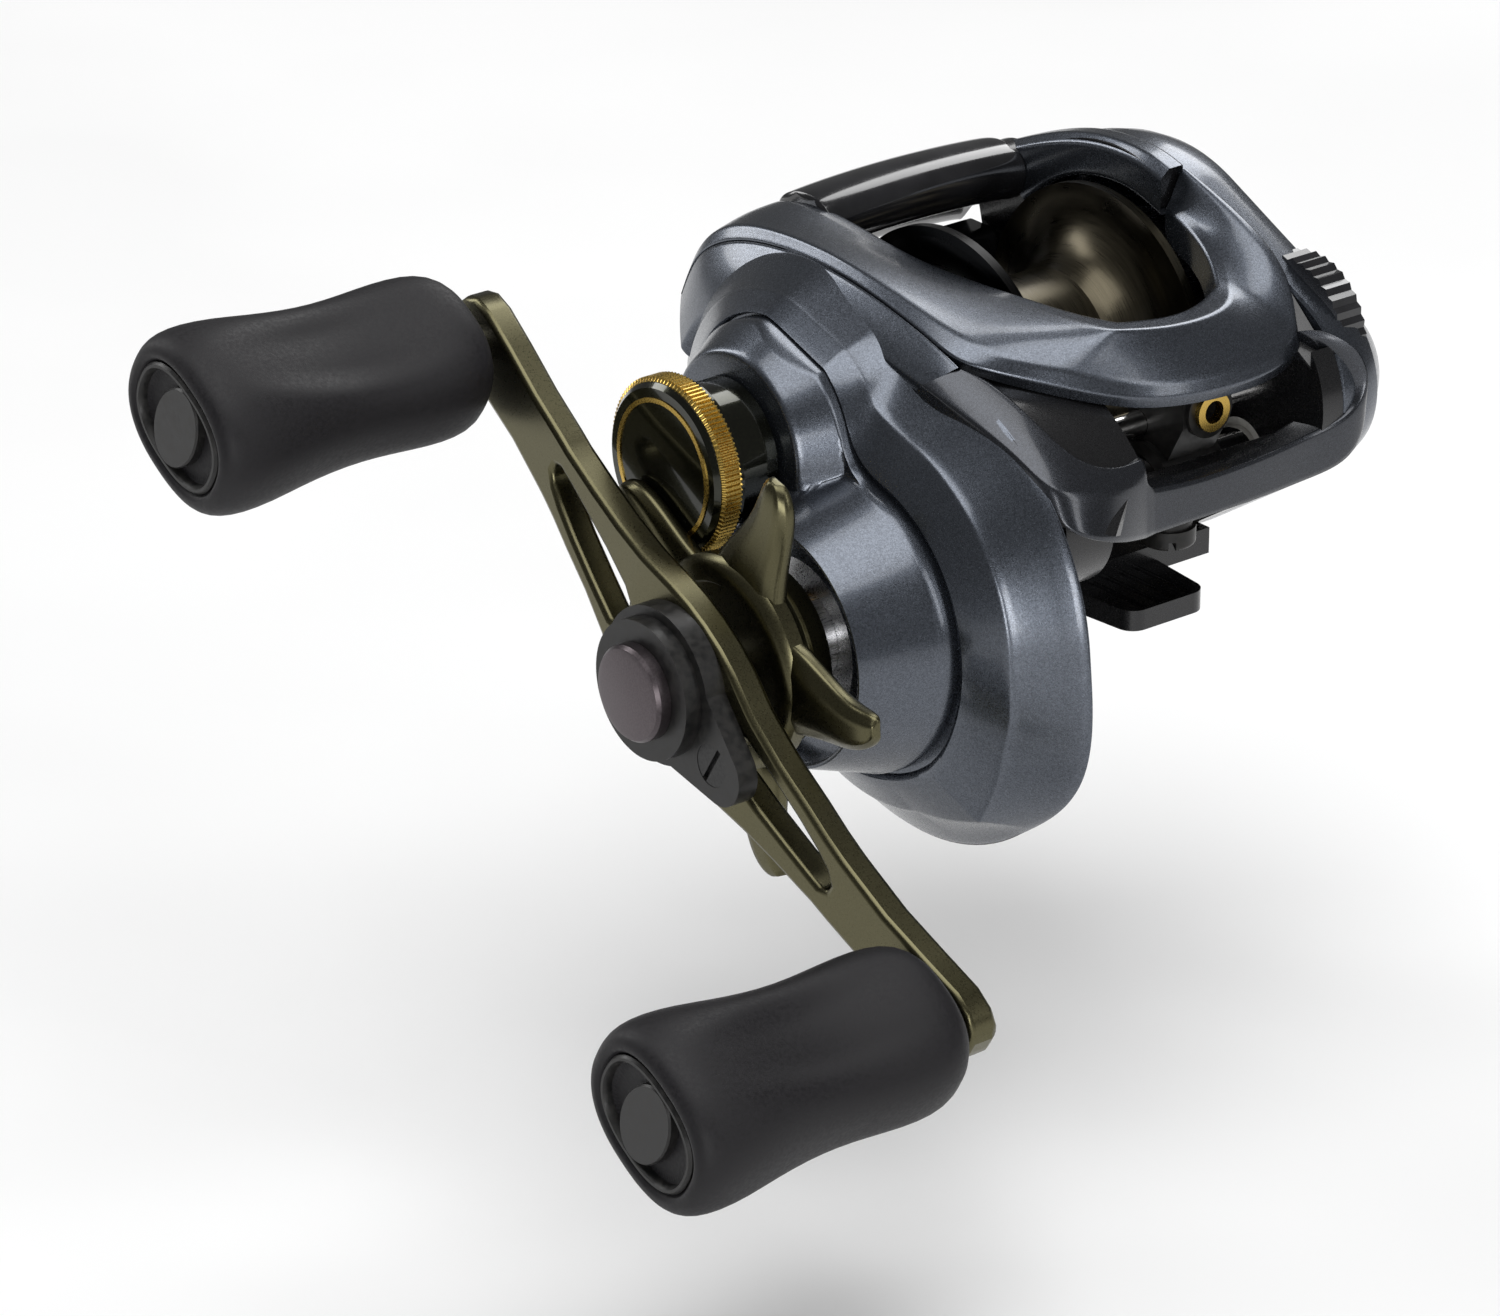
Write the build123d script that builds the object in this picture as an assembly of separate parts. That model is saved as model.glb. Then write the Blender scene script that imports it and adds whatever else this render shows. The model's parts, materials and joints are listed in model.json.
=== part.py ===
"""Low-profile bait-casting reel: frame, covers, spool, gear train, level wind, clutch, drag and handle.

Frame of the part: the origin is on the underside of the foot, below the spool axis.
+X runs along the spool axis to the handle side, +Y points forward to the rod tip, +Z is up.
All sizes are in millimetres.
"""

from build123d import *
import os
from math import acos, atan2, cos, hypot, pi, radians, sin, tan

# Clearances and walls
RUN_FIT = 0.05
SIDE_GAP = 0.3
SEAM_GAP = 0.12
OVERCUT = 1.0
COVER_WALL = 1.8
RIM_WALL = 1.6
HOOD_WALL = 2.0

# Spool and its shaft
SPOOL_Z = 22.0
SPOOL_WIDTH = 22.0
SPOOL_RADIUS = 17.0
ARBOR_RADIUS = 9.0
ARBOR_LENGTH = 9.0
ARBOR_FLARE = 11.2
FLANGE_THICK = 1.1
SPOOL_SKIN = 0.9
SPOOL_WEB = 2.4
SPOOL_GAP = 1.2
SHAFT_RADIUS = 1.5
SHAFT_TIP_RADIUS = 1.1
SHAFT_PALM_X = -20.0
SHAFT_STEP_X = 15.6
SHAFT_TIP_X = 43.4
PIN_X = 17.0
PIN_RADIUS = 0.45
PIN_REACH = 1.7

# Gear pairs: drive gear with pinion, and level-wind drive gear with worm gear
MODULE = 0.37
DRIVE_TEETH = 102
PINION_TEETH = 12
DRIVE_ANGLE = -50.5
WIND_MODULE = 0.5
WIND_DRIVE_TEETH = 26
WIND_WORM_TEETH = 22
WIND_ANGLE = 51.3
PRESSURE_ANGLE = 20.0
TOOTH_SHARE = 0.43
STUB_ADDENDUM = 0.7
FULL_ADDENDUM = 1.0
DEDENDUM = 1.15
FLANK_STEPS = 3

# Frame walls and gear case
WALL_INNER = 12.2
WALL_THICK = 2.8
CASE_SEAM = 25.0
CASE_BACK_Y = -5.5
CASE_BACK_Z = 17.3
CASE_BACK_RADIUS = 20.5
CASE_RADIUS = 26.4
CASE_FOOT_Y = 4.0
CASE_FOOT_Z = 0.5
CASE_FOOT_RADIUS = 19.4

# Handle-side cover: shoulder, dome over the drive shaft and boss under the tension knob
SHOULDER_X = 31.0
SHOULDER_INSET = 4.5
DOME_FOOT_X = 35.0
DOME_FOOT_RADIUS = 16.0
DOME_TOP_X = 44.0
DOME_TOP_RADIUS = 13.0
DOME_FLARE = 0.5
RECESS_RADIUS = 12.4
RECESS_DEPTH = 2.5
BOSS_TOP_X = 39.0
BOSS_FOOT_RADIUS = 12.5
BOSS_TOP_RADIUS = 10.2
NECK_TOP_X = 43.0
NECK_RADIUS = 6.2
NECK_BORE = 4.5
NECK_FOOT_X = 28.6
SEAT_FOOT_X = 32.0
SEAT_WALL = 1.6

# Palm-side cover
PALM_BACK_Y = 0.0
PALM_BACK_Z = 21.5
PALM_BACK_RADIUS = 21.8
PALM_FRONT_Y = 22.5
PALM_FRONT_Z = 23.0
PALM_FRONT_RADIUS = 10.8
PALM_EDGE_DEPTH = 7.0
PALM_EDGE_INSET = 2.5
PALM_DEPTH = 12.5
PALM_TOP_INSET = 9.0
SPIGOT_DEPTH = 2.2
PALM_HUB_RADIUS = 4.4
PALM_HUB_X = -16.2
LOCK_Y = 17.0
LOCK_Z = 10.8
LOCK_RADIUS = 1.2
LOCK_HEAD_RADIUS = 2.4
LOCK_HEAD = 1.4
LOCK_SEAT_X = -20.5
LOCK_BOSS_RADIUS = 3.0
LOCK_TIP_X = -13.0

# Top hood: places along it with the skin heights there at the seam, on the crown and along the opening
HOOD_PLACES = (-21.0, -15.0, -7.5, 0.6, 8.5, 15.5, 22.5, 31.0)
HOOD_SEAM_HEIGHTS = (34.9, 37.3, 38.1, 37.8, 36.4, 34.6, 32.0, 29.2)
HOOD_CROWN_HEIGHTS = (37.0, 39.1, 39.4, 39.0, 37.8, 36.2, 34.0, 29.6)
HOOD_RAIL_HEIGHTS = (37.4, 37.7, 36.0, 35.4, 35.7, 35.5, 34.4, 29.8)
PALM_PLACES = (7.0, 12.2, 17.0, 20.5, 24.0, 31.0)
PALM_CREST_HEIGHTS = (42.4, 41.0, 39.4, 38.2, 36.4, 30.4)
PALM_RAIL_HEIGHTS = (38.8, 37.5, 36.4, 35.4, 34.0, 29.8)

# Hood: lower edges (y, z) of its sides, crown, split between its two blocks, corners and opening
HOOD_EDGE = ((-21.0, 31.5), (20.0, 30.0), (31.0, 26.8))
PALM_EDGE = ((7.0, 35.5), (20.0, 30.0), (31.0, 26.8))
HOOD_CROWN_X = 22.0
HOOD_SPLIT_X = -11.0
PALM_RAIL_X = -9.0
LIP_X0 = -11.5
LIP_X1 = 10.0
LIP_RETURN_Y = 25.0
HOOD_CORNER_Y = 19.0
OPENING_X0 = -12.4
OPENING_X1 = 11.8
OPENING_Y1 = 22.5
OPENING_CORNER = 4.0
OPENING_BACK_Y = -13.0

# Foot
FOOT_LENGTH = 57.0
FOOT_FRONT_Y = 24.0
FOOT_WIDTH = 13.0
FOOT_TIP_WIDTH = 10.5
FOOT_THICK = 2.3
FOOT_TAPER = 12.0
FOOT_CORNER = 2.0
FOOT_GROOVES = 4
FOOT_GROOVE_RADIUS = 0.45

# Deck, bars and thumb rest
DECK_BACK_Y = -13.0
DECK_FRONT_Y = 15.0
DECK_GAP = 0.9
BAR_FRONT_Y = 32.5
BAR_DEPTH = 6.0
BAR_TOP_Z = 19.6
BAR_HEIGHT = 3.2
BAR_RISE = 4.6
BAR_ROUND = 1.1
BACK_BAR_Y = -20.1
BACK_BAR_DEPTH = 3.8
BACK_BAR_Z = 11.0
BACK_BAR_HEIGHT = 6.0
REST_Y = -18.5
REST_Z = 36.0
REST_LENGTH = 8.4
REST_HEIGHT = 5.0
REST_TILT = 25.0

# Bearings
SPOOL_BEARING_RADIUS = 4.0
SPOOL_BEARING_LENGTH = 2.4
PALM_BEARING_RADIUS = 3.0
DRIVE_BEARING_RADIUS = 5.0
PINION_BEARING_X = 29.2
PINION_BEARING_LENGTH = 2.2
WORM_BUSH_RADIUS = 3.8

# Pinion and clutch
PINION_X = 16.4
PINION_TEETH_END = 25.0
PINION_NECK_END = 26.2
PINION_COLLAR_END = 27.2
PINION_END_X = 31.6
PINION_NECK_RADIUS = 1.9
PINION_COLLAR_RADIUS = 2.5
PINION_BORE = 1.4
PINION_SLOT = 1.6
PINION_SLOT_DEPTH = 1.3
YOKE_X = 25.2
YOKE_THICK = 0.8
YOKE_WIDTH = 5.0
YOKE_REACH = 9.0
YOKE_POST_RADIUS = 1.2
YOKE_POST_END = 28.5
YOKE_SPRING_X = 27.9
YOKE_SPRING_RADIUS = 1.6
THUMB_BACK_Y = -24.0
THUMB_FRONT_Y = -18.5
THUMB_LOW_Z = 22.5
THUMB_TOP_Z = 28.5
THUMB_ROUND = 1.4
THUMB_TRAVEL = 4.0
TAB_BACK_Y = -20.8
TAB_FRONT_Y = -18.6
TAB_LOW_Z = 23.0
TAB_TOP_Z = 26.0
CLUTCH_PLATE_X = 22.3
CLUTCH_PLATE_THICK = 1.2
CLUTCH_PLATE_FRONT_Y = -9.0

# Drive shaft, drive gear and drag stack
DRIVE_SHAFT_X = 11.9
DRIVE_JOURNAL_RADIUS = 2.5
DRIVE_SHAFT_RADIUS = 3.0
DRIVE_THREAD_X = 53.6
DRIVE_END_X = 61.0
WIND_GEAR_X = 15.4
WIND_GEAR_THICK = 1.3
DRIVE_GEAR_X = 21.6
DRIVE_GEAR_THICK = 3.2
DRAG_DISC = 0.8
DRAG_RADIUS = 13.0
KEY_RADIUS = 12.4
SLEEVE_RADIUS = 5.0
SLEEVE_END_X = 42.2
ROLLER_X = 32.2
ROLLER_LENGTH = 8.0
ROLLER_RADIUS = 9.0
SPRING_DISC_RADIUS = 6.4
SPRING_DISC_RISE = 0.9
SPRING_DISC_THICK = 0.5

# Star drag
STAR_RADIUS = 22.7
STAR_ARMS = 5
STAR_PHASE = 74.8
STAR_X = 48.9
STAR_THICK = 1.8
STAR_HUB_X = 44.5
STAR_HUB_TOP = 51.8
STAR_HUB_FOOT_RADIUS = 9.5
STAR_HUB_RADIUS = 11.3
STAR_ARM_FOOT = 4.6
STAR_ARM_TIP = 1.7
STAR_SWEEP = 3.0
STAR_NUT_FLATS = 10.0
STAR_NUT_LENGTH = 3.2

# Handle
HANDLE_ARM = 45.0
HANDLE_ANGLE = -31.6
HANDLE_OUTER_X = 57.4
HANDLE_THICK = 3.2
HANDLE_DROP = 3.4
HANDLE_FLAT = 9.0
HANDLE_HUB_RADIUS = 8.6
HANDLE_END_RADIUS = 4.7
HANDLE_BEVEL = 0.8
SLOT_NEAR = 12.0
SLOT_FAR = 26.0
SLOT_NEAR_HALF = 1.9
SLOT_FAR_HALF = 1.2
NUT_FLATS = 8.0
NUT_HEX_END = 61.0
NUT_TOP_X = 63.2
NUT_BUTTON_RADIUS = 4.05
RETAINER_STEP_X = 59.8
RETAINER_TOP_X = 61.7
RETAINER_RADIUS = 8.4
RETAINER_TOP_RADIUS = 7.4
RETAINER_BORE = 4.9
RETAINER_TAIL = 11.8
RETAINER_TAIL_RADIUS = 3.4
SCREW_AT = 10.6
SCREW_HEAD_RADIUS = 2.3
SCREW_HEAD = 1.0
SCREW_SHANK = 1.0
SCREW_SLOT = 0.6

# Paddle knobs: stations (distance from the arm end or back from the outer end, half length, half width)
PADDLE_X = 55.3
PADDLE_LENGTH = 35.8
PADDLE_STATIONS = (
    (0.0, 5.6, 5.2),
    (2.2, 8.0, 6.9),
    (7.0, 8.9, 7.5),
    (15.0, 8.3, 7.0),
    (23.0, 8.8, 7.4),
)
PADDLE_END_STATIONS = (
    (5.8, 10.1, 8.3),
    (1.2, 9.8, 7.9),
    (0.0, 8.9, 7.0),
)
PADDLE_BORE = 3.6
PADDLE_CAP_LONG = 7.2
PADDLE_CAP_WIDE = 5.2
PADDLE_CAP_THICK = 1.4
PADDLE_CAP_RAISE = 0.2
POST_RADIUS = 2.0
POST_END_X = 84.5
BUSH_LENGTH = 3.0
BUSH_NEAR_X = 56.4
BUSH_FAR_X = 81.0
KNOB_SCREW_RADIUS = 3.0
KNOB_SCREW_HEAD = 1.6

# Level wind
WORM_RADIUS = 2.0
WORM_END_RADIUS = 1.5
WORM_PALM_X = -14.6
WORM_GROOVES = 9
WORM_GROOVE_DEPTH = 0.5
TUBE_RADIUS = 3.0
TUBE_WALL = 0.6
TUBE_SLOT = 2.6
GUIDE_ROD_GAP = 1.1
GUIDE_ROD_Z = 21.3
GUIDE_ROD_RADIUS = 1.4
GUIDE_REST_X = -2.2
GUIDE_WIDTH = 8.0
GUIDE_SLEEVE_RADIUS = 4.6
GUIDE_POST_WIDTH = 6.4
EYE_Y = 27.0
EYE_Z = 24.2
EYE_LENGTH = 1.2
EYE_RADIUS = 2.15
EYE_BORE = 1.25
EYE_HOUSING = 3.0
PAWL_RADIUS = 1.1
PAWL_BOSS_RADIUS = 2.6
PAWL_BOSS_DROP = 5.5
PAWL_CAP_RADIUS = 3.0
PAWL_CAP_HEIGHT = 2.1
PAWL_CAP_SLOT = 0.8

# Tension knob
KNOB_FACE_X = 48.4
KNOB_RADIUS = 9.0
KNOB_BARREL_RADIUS = 7.6
KNOB_BARREL_X = 39.4
KNOB_HEAD_X = 44.8
KNOB_FACE_CHAMFER = 0.5
GRIP_X = 45.3
GRIP_LENGTH = 2.5
GRIP_RADIUS = 9.5
GRIP_BORE = 8.3
GRIP_RIDGES = 72
GRIP_DEPTH = 0.22
INLAY_RADIUS = 7.5
INLAY_WIDTH = 0.5
INLAY_RAISE = 0.12
INLAY_DEPTH = 0.4
PAD_X = 43.8
PAD_RADIUS = 3.6

# Brake
DIAL_Y = 22.3
DIAL_Z = 27.8
DIAL_RADIUS = 8.2
DIAL_NOTCHES = 36
DIAL_NOTCH_DEPTH = 0.35
DIAL_X = -20.8
DIAL_THICK = 3.4
DIAL_AXLE_RADIUS = 1.2
DIAL_AXLE = 1.6
DIAL_BOSS_RADIUS = 2.6
DRUM_RADIUS = 12.5
DRUM_WALL = 1.2
DRUM_X = -18.8
DRUM_MOUTH_X = -13.5
BRAKE_HUB_RADIUS = 4.0
BRAKE_HUB_X = -15.5
SHOE_COUNT = 4
SHOE_INNER = 6.0
SHOE_OUTER = 10.6
SHOE_WIDTH = 3.0
SHOE_X0 = -15.2
SHOE_X1 = -12.8
SHOE_PIN_RADIUS = 0.6

# Screws of the handle-side cover, (y, z) of each
COVER_SCREW_RADIUS = 1.0
COVER_SCREW_HEAD_RADIUS = 1.9
COVER_SCREW_HEAD = 1.3
COVER_SCREW_END = 24.0
COVER_BOSS_RADIUS = 2.0
COVER_BOSS_END = 29.0
COVER_SCREW_INSET = 4.6
COVER_SCREW_ANGLES = (75.0, -125.0)
COVER_SCREW_BACK = (-15.0, 29.0)

# Places that follow from the sizes above
WALL_OUTER = WALL_INNER + WALL_THICK
FLANGE_X = SPOOL_WIDTH / 2
DRIVE_CENTRES = MODULE * (DRIVE_TEETH + PINION_TEETH) / 2
DRIVE_Y = DRIVE_CENTRES * cos(radians(DRIVE_ANGLE))
DRIVE_Z = SPOOL_Z + DRIVE_CENTRES * sin(radians(DRIVE_ANGLE))
WIND_CENTRES = WIND_MODULE * (WIND_DRIVE_TEETH + WIND_WORM_TEETH) / 2
WORM_Y = DRIVE_Y + WIND_CENTRES * cos(radians(WIND_ANGLE))
WORM_Z = DRIVE_Z + WIND_CENTRES * sin(radians(WIND_ANGLE))
DRAG_X = DRIVE_GEAR_X + DRIVE_GEAR_THICK
SLEEVE_X = DRAG_X + 4 * DRAG_DISC
HANDLE_INNER_X = HANDLE_OUTER_X - HANDLE_THICK
LIP_END_Y = HOOD_PLACES[-1]
HOOD_BACK_Y = HOOD_PLACES[0]
GUIDE_ROD_Y = SPOOL_RADIUS + GUIDE_ROD_GAP + GUIDE_ROD_RADIUS
WORM_GEAR_TIP = WIND_MODULE * (WIND_WORM_TEETH / 2 + STUB_ADDENDUM)
WORM_GEAR_END = WIND_GEAR_X + WIND_GEAR_THICK


def on_side(x):
    """Sketch plane across the reel at x: its own x is +Y and its own y is +Z."""
    return Plane.YZ.offset(x)


def rod(x0, x1, radius, y=0.0, z=SPOOL_Z):
    """Round bar along X."""
    return extrude(on_side(x0) * Pos(y, z) * Circle(radius), amount=x1 - x0)


def ring(x0, x1, outer, inner, y=0.0, z=SPOOL_Z):
    """Round tube along X."""
    return extrude(on_side(x0) * Pos(y, z) * (Circle(outer) - Circle(inner)), amount=x1 - x0)


def turned(profile, y=0.0, z=SPOOL_Z):
    """Solid turned about an axis along X, from a closed outline of (x, radius) points."""
    face = make_face(Polyline(*[(x, r, 0) for x, r in profile], close=True))
    return Pos(0, y, z) * revolve(face, axis=Axis.X)


def side_prism(points, x0, x1):
    """Straight prism along X from a closed outline of (y, z) points."""
    face = make_face(Polyline(*points, close=True))
    return extrude(on_side(x0) * face, amount=x1 - x0)


def block(x0, x1, y0, y1, z0, z1):
    """Box between two corners."""
    centre = Pos((x0 + x1) / 2, (y0 + y1) / 2, (z0 + z1) / 2)
    return centre * Box(x1 - x0, y1 - y0, z1 - z0)


def pear(y1, z1, r1, y2, z2, r2):
    """Outline round two circles: two arcs and the two lines that touch both."""
    along = atan2(z2 - z1, y2 - y1)
    lean = acos((r1 - r2) / hypot(y2 - y1, z2 - z1))

    def on(y, z, r, angle):
        return (y + r * cos(angle), z + r * sin(angle))

    start, end = on(y1, z1, r1, along + lean), on(y1, z1, r1, along - lean)
    far_start, far_end = on(y2, z2, r2, along - lean), on(y2, z2, r2, along + lean)
    edges = [
        ThreePointArc(start, on(y1, z1, r1, along + pi), end),
        Line(end, far_start),
        ThreePointArc(far_start, on(y2, z2, r2, along), far_end),
        Line(far_end, start),
    ]
    return make_face(edges)


def case_outline(inset=0.0):
    """Handle-side outline: round the gears and the back of the spool."""
    back = CASE_BACK_RADIUS - inset
    return pear(CASE_BACK_Y, CASE_BACK_Z, back, DRIVE_Y, DRIVE_Z, CASE_RADIUS - inset)


def case_space(inset=0.0):
    """Space in the handle-side outline from wall to seam; below the bar it leans back."""
    back = CASE_BACK_RADIUS - inset
    foot = pear(CASE_BACK_Y, CASE_BACK_Z, back, CASE_FOOT_Y, CASE_FOOT_Z, CASE_FOOT_RADIUS - inset)
    space = loft([on_side(WALL_INNER) * foot, on_side(CASE_SEAM) * case_outline(inset)], ruled=True)
    wide = 2 * CASE_RADIUS
    bar_end, rim_end = (WALL_INNER, BAR_FRONT_Y - inset), (CASE_SEAM, DRIVE_Y + CASE_RADIUS - inset)
    plan = make_face(Polyline(bar_end, rim_end, (CASE_SEAM, -wide), (WALL_INNER, -wide), close=True))
    low = BAR_TOP_Z - BAR_HEIGHT + inset
    upper = extrude(Pos(0, 0, low) * plan, amount=wide)
    rise = make_face(Polyline((WALL_INNER, low), (CASE_SEAM, low + BAR_RISE), (CASE_SEAM, low), close=True))
    upper -= extrude(Plane.XZ * rise, amount=wide, both=True)
    upper &= extrude(on_side(WALL_INNER) * case_outline(inset + SEAM_GAP), amount=CASE_SEAM - WALL_INNER)
    bulge = SIDE_GAP + RIM_WALL - inset
    return space + upper + rod(WALL_INNER, WORM_GEAR_END + bulge, WORM_GEAR_TIP + bulge, WORM_Y, WORM_Z)


def palm_outline(inset=0.0):
    """Palm-side outline."""
    back, front = PALM_BACK_RADIUS - inset, PALM_FRONT_RADIUS - inset
    return pear(PALM_BACK_Y, PALM_BACK_Z, back, PALM_FRONT_Y, PALM_FRONT_Z, front)


def gear_outline(y, z, teeth, module, addendum, tooth_at):
    """Involute gear outline in (y, z) with one tooth centred on the angle tooth_at."""
    pitch = module * teeth / 2
    base = pitch * cos(radians(PRESSURE_ANGLE))
    root, tip = pitch - DEDENDUM * module, pitch + addendum * module

    def spread(radius):
        if radius <= base:
            return 0.0
        roll = acos(base / radius)
        return tan(roll) - roll

    half = pi * TOOTH_SHARE / teeth + spread(pitch)
    low = max(base, root)
    flank = [low + (tip - low) * k / FLANK_STEPS for k in range(FLANK_STEPS + 1)]
    if root < base:
        flank = [root] + flank
    points = []
    for tooth in range(teeth):
        middle = radians(tooth_at) + 2 * pi * tooth / teeth
        rising = [(r, middle - half + spread(r)) for r in flank]
        falling = [(r, middle + half - spread(r)) for r in reversed(flank)]
        points += [(y + r * cos(a), z + r * sin(a)) for r, a in rising + falling]
    return points


def notched(x0, x1, radius, depth, count, y=0.0, z=SPOOL_Z):
    """Disc along X with an edge of straight ridges."""
    points = []
    for k in range(2 * count):
        r = radius - depth * (k % 2)
        points.append((y + r * cos(pi * k / count), z + r * sin(pi * k / count)))
    return side_prism(points, x0, x1)


def hexagon(x0, x1, flats, y, z):
    """Six-sided bar along X."""
    return extrude(on_side(x0) * Pos(y, z) * RegularPolygon(flats / 2, 6, major_radius=False), amount=x1 - x0)


def largest(shape):
    """The one solid of a shape that cuts may have left with loose crumbs."""
    return shape.solids().sort_by(SortBy.VOLUME)[-1]


def handle_frame():
    """Plane on the drive axis: its own x runs along the handle arm and its own y across it."""
    along = (0, cos(radians(HANDLE_ANGLE)), sin(radians(HANDLE_ANGLE)))
    return Plane(origin=(0, DRIVE_Y, DRIVE_Z), x_dir=along, z_dir=(1, 0, 0))


def hood_space(places, skins, edge, sink, ends, grow):
    """Block from a lower edge up to skins on planes (x, heights): skins sunk, ends run out, edge let down."""
    low = [(y, z - grow - ends) for y, z in edge]
    low = [(low[0][0] - ends, low[0][1])] + low[1:-1] + [(low[-1][0] + ends, low[-1][1])]
    faces = []
    for x, heights in skins:
        top = [(y, z - sink) for y, z in zip(places, heights)]
        (y0, z0), (y1, z1) = top[-2:]
        slope = (z1 - z0) / (y1 - y0)
        top = [(top[0][0] - ends, top[0][1])] + top[1:-1] + [(y1 + ends, z1 + slope * ends)]
        faces.append(on_side(x) * make_face(Polyline(*(top + low[::-1]), close=True)))
    return loft(faces, ruled=True)


def hood_blocks(inset=0.0, lift=0.0, grow=0.0):
    """The two blocks under the outer skin of the hood: front with handle rail, and palm rail."""
    front = [
        (HOOD_SPLIT_X, HOOD_RAIL_HEIGHTS),
        (OPENING_X1, HOOD_RAIL_HEIGHTS),
        (HOOD_CROWN_X, HOOD_CROWN_HEIGHTS),
        (CASE_SEAM, HOOD_SEAM_HEIGHTS),
    ]
    palm = [
        (-WALL_OUTER, PALM_CREST_HEIGHTS),
        (OPENING_X0, PALM_RAIL_HEIGHTS),
        (PALM_RAIL_X - inset, PALM_RAIL_HEIGHTS),
    ]
    sink = inset - lift
    return (
        hood_space(HOOD_PLACES, front, HOOD_EDGE, sink, OVERCUT if inset else grow, grow),
        hood_space(PALM_PLACES, palm, PALM_EDGE, sink, OVERCUT if inset else grow, grow),
    )


def hood_zone(grow):
    """Space that the frame leaves free for the hood."""
    front, palm = hood_blocks(0.0, SPOOL_RADIUS, grow)
    high = max(HOOD_RAIL_HEIGHTS) + SPOOL_RADIUS
    front -= block(-WALL_OUTER, WALL_OUTER + grow, HOOD_BACK_Y - OVERCUT, OPENING_BACK_Y - grow, 0, high)
    return front, palm


def make_hood():
    """Painted top cover: handle rail, front with lip, and palm rail round the opening over the spool."""
    front, palm = hood_blocks()
    front_core, palm_core = hood_blocks(HOOD_WALL)
    hood = (front - front_core - palm_core) + (palm - palm_core - front_core)
    low, high = -OVERCUT, max(PALM_CREST_HEIGHTS) + OVERCUT
    back = HOOD_BACK_Y - OVERCUT
    opening = block(OPENING_X0, OPENING_X1, back - OPENING_CORNER, OPENING_Y1, low, high)
    hood -= fillet(opening.edges().filter_by(Axis.Z), OPENING_CORNER)
    hood -= block(-WALL_OUTER, WALL_OUTER + SEAM_GAP, back, OPENING_BACK_Y, low, high)
    hood -= rod(-WALL_OUTER - OVERCUT, -WALL_INNER + OVERCUT, SPOOL_RADIUS + SPOOL_GAP / 2)
    for corner in (
        [(CASE_SEAM, HOOD_CORNER_Y), (LIP_X1, LIP_END_Y), (CASE_SEAM, LIP_END_Y)],
        [(-WALL_OUTER, LIP_RETURN_Y), (LIP_X0, LIP_END_Y), (-WALL_OUTER, LIP_END_Y)],
    ):
        hood -= extrude(make_face(Polyline(*corner, close=True)), amount=high)
    return largest(hood)


def make_foot():
    """Foot: a flat-bottomed tongue along the rod with tapered, grooved ends."""
    back = FOOT_FRONT_Y - FOOT_LENGTH
    half, tip = FOOT_WIDTH / 2, FOOT_TIP_WIDTH / 2
    right = [(tip, back), (half, back + FOOT_TAPER), (half, FOOT_FRONT_Y - FOOT_TAPER), (tip, FOOT_FRONT_Y)]
    plan = Polyline(*right, *[(-x, y) for x, y in reversed(right)], close=True)
    foot = extrude(make_face(plan), amount=FOOT_THICK)
    corners = foot.edges().filter_by(Axis.Z).group_by(Axis.Y)
    foot = fillet(corners[0] + corners[-1], FOOT_CORNER)
    pitch = FOOT_TIP_WIDTH / (FOOT_GROOVES + 1)
    groove = Rot(90, 0, 0) * Cylinder(FOOT_GROOVE_RADIUS, FOOT_TAPER - OVERCUT)
    for k in range(FOOT_GROOVES):
        x = pitch * (k - (FOOT_GROOVES - 1) / 2)
        for y in (FOOT_FRONT_Y - FOOT_TAPER / 2, back + FOOT_TAPER / 2):
            foot -= Pos(x, y, FOOT_THICK) * groove
    return foot


def cover_screw_places():
    """Centres (y, z) of the screws of the handle-side cover."""
    places = [COVER_SCREW_BACK]
    circle = CASE_RADIUS - COVER_SCREW_INSET
    for angle in COVER_SCREW_ANGLES:
        turn = radians(angle)
        places.append((DRIVE_Y + circle * cos(turn), DRIVE_Z + circle * sin(turn)))
    return places


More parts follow.
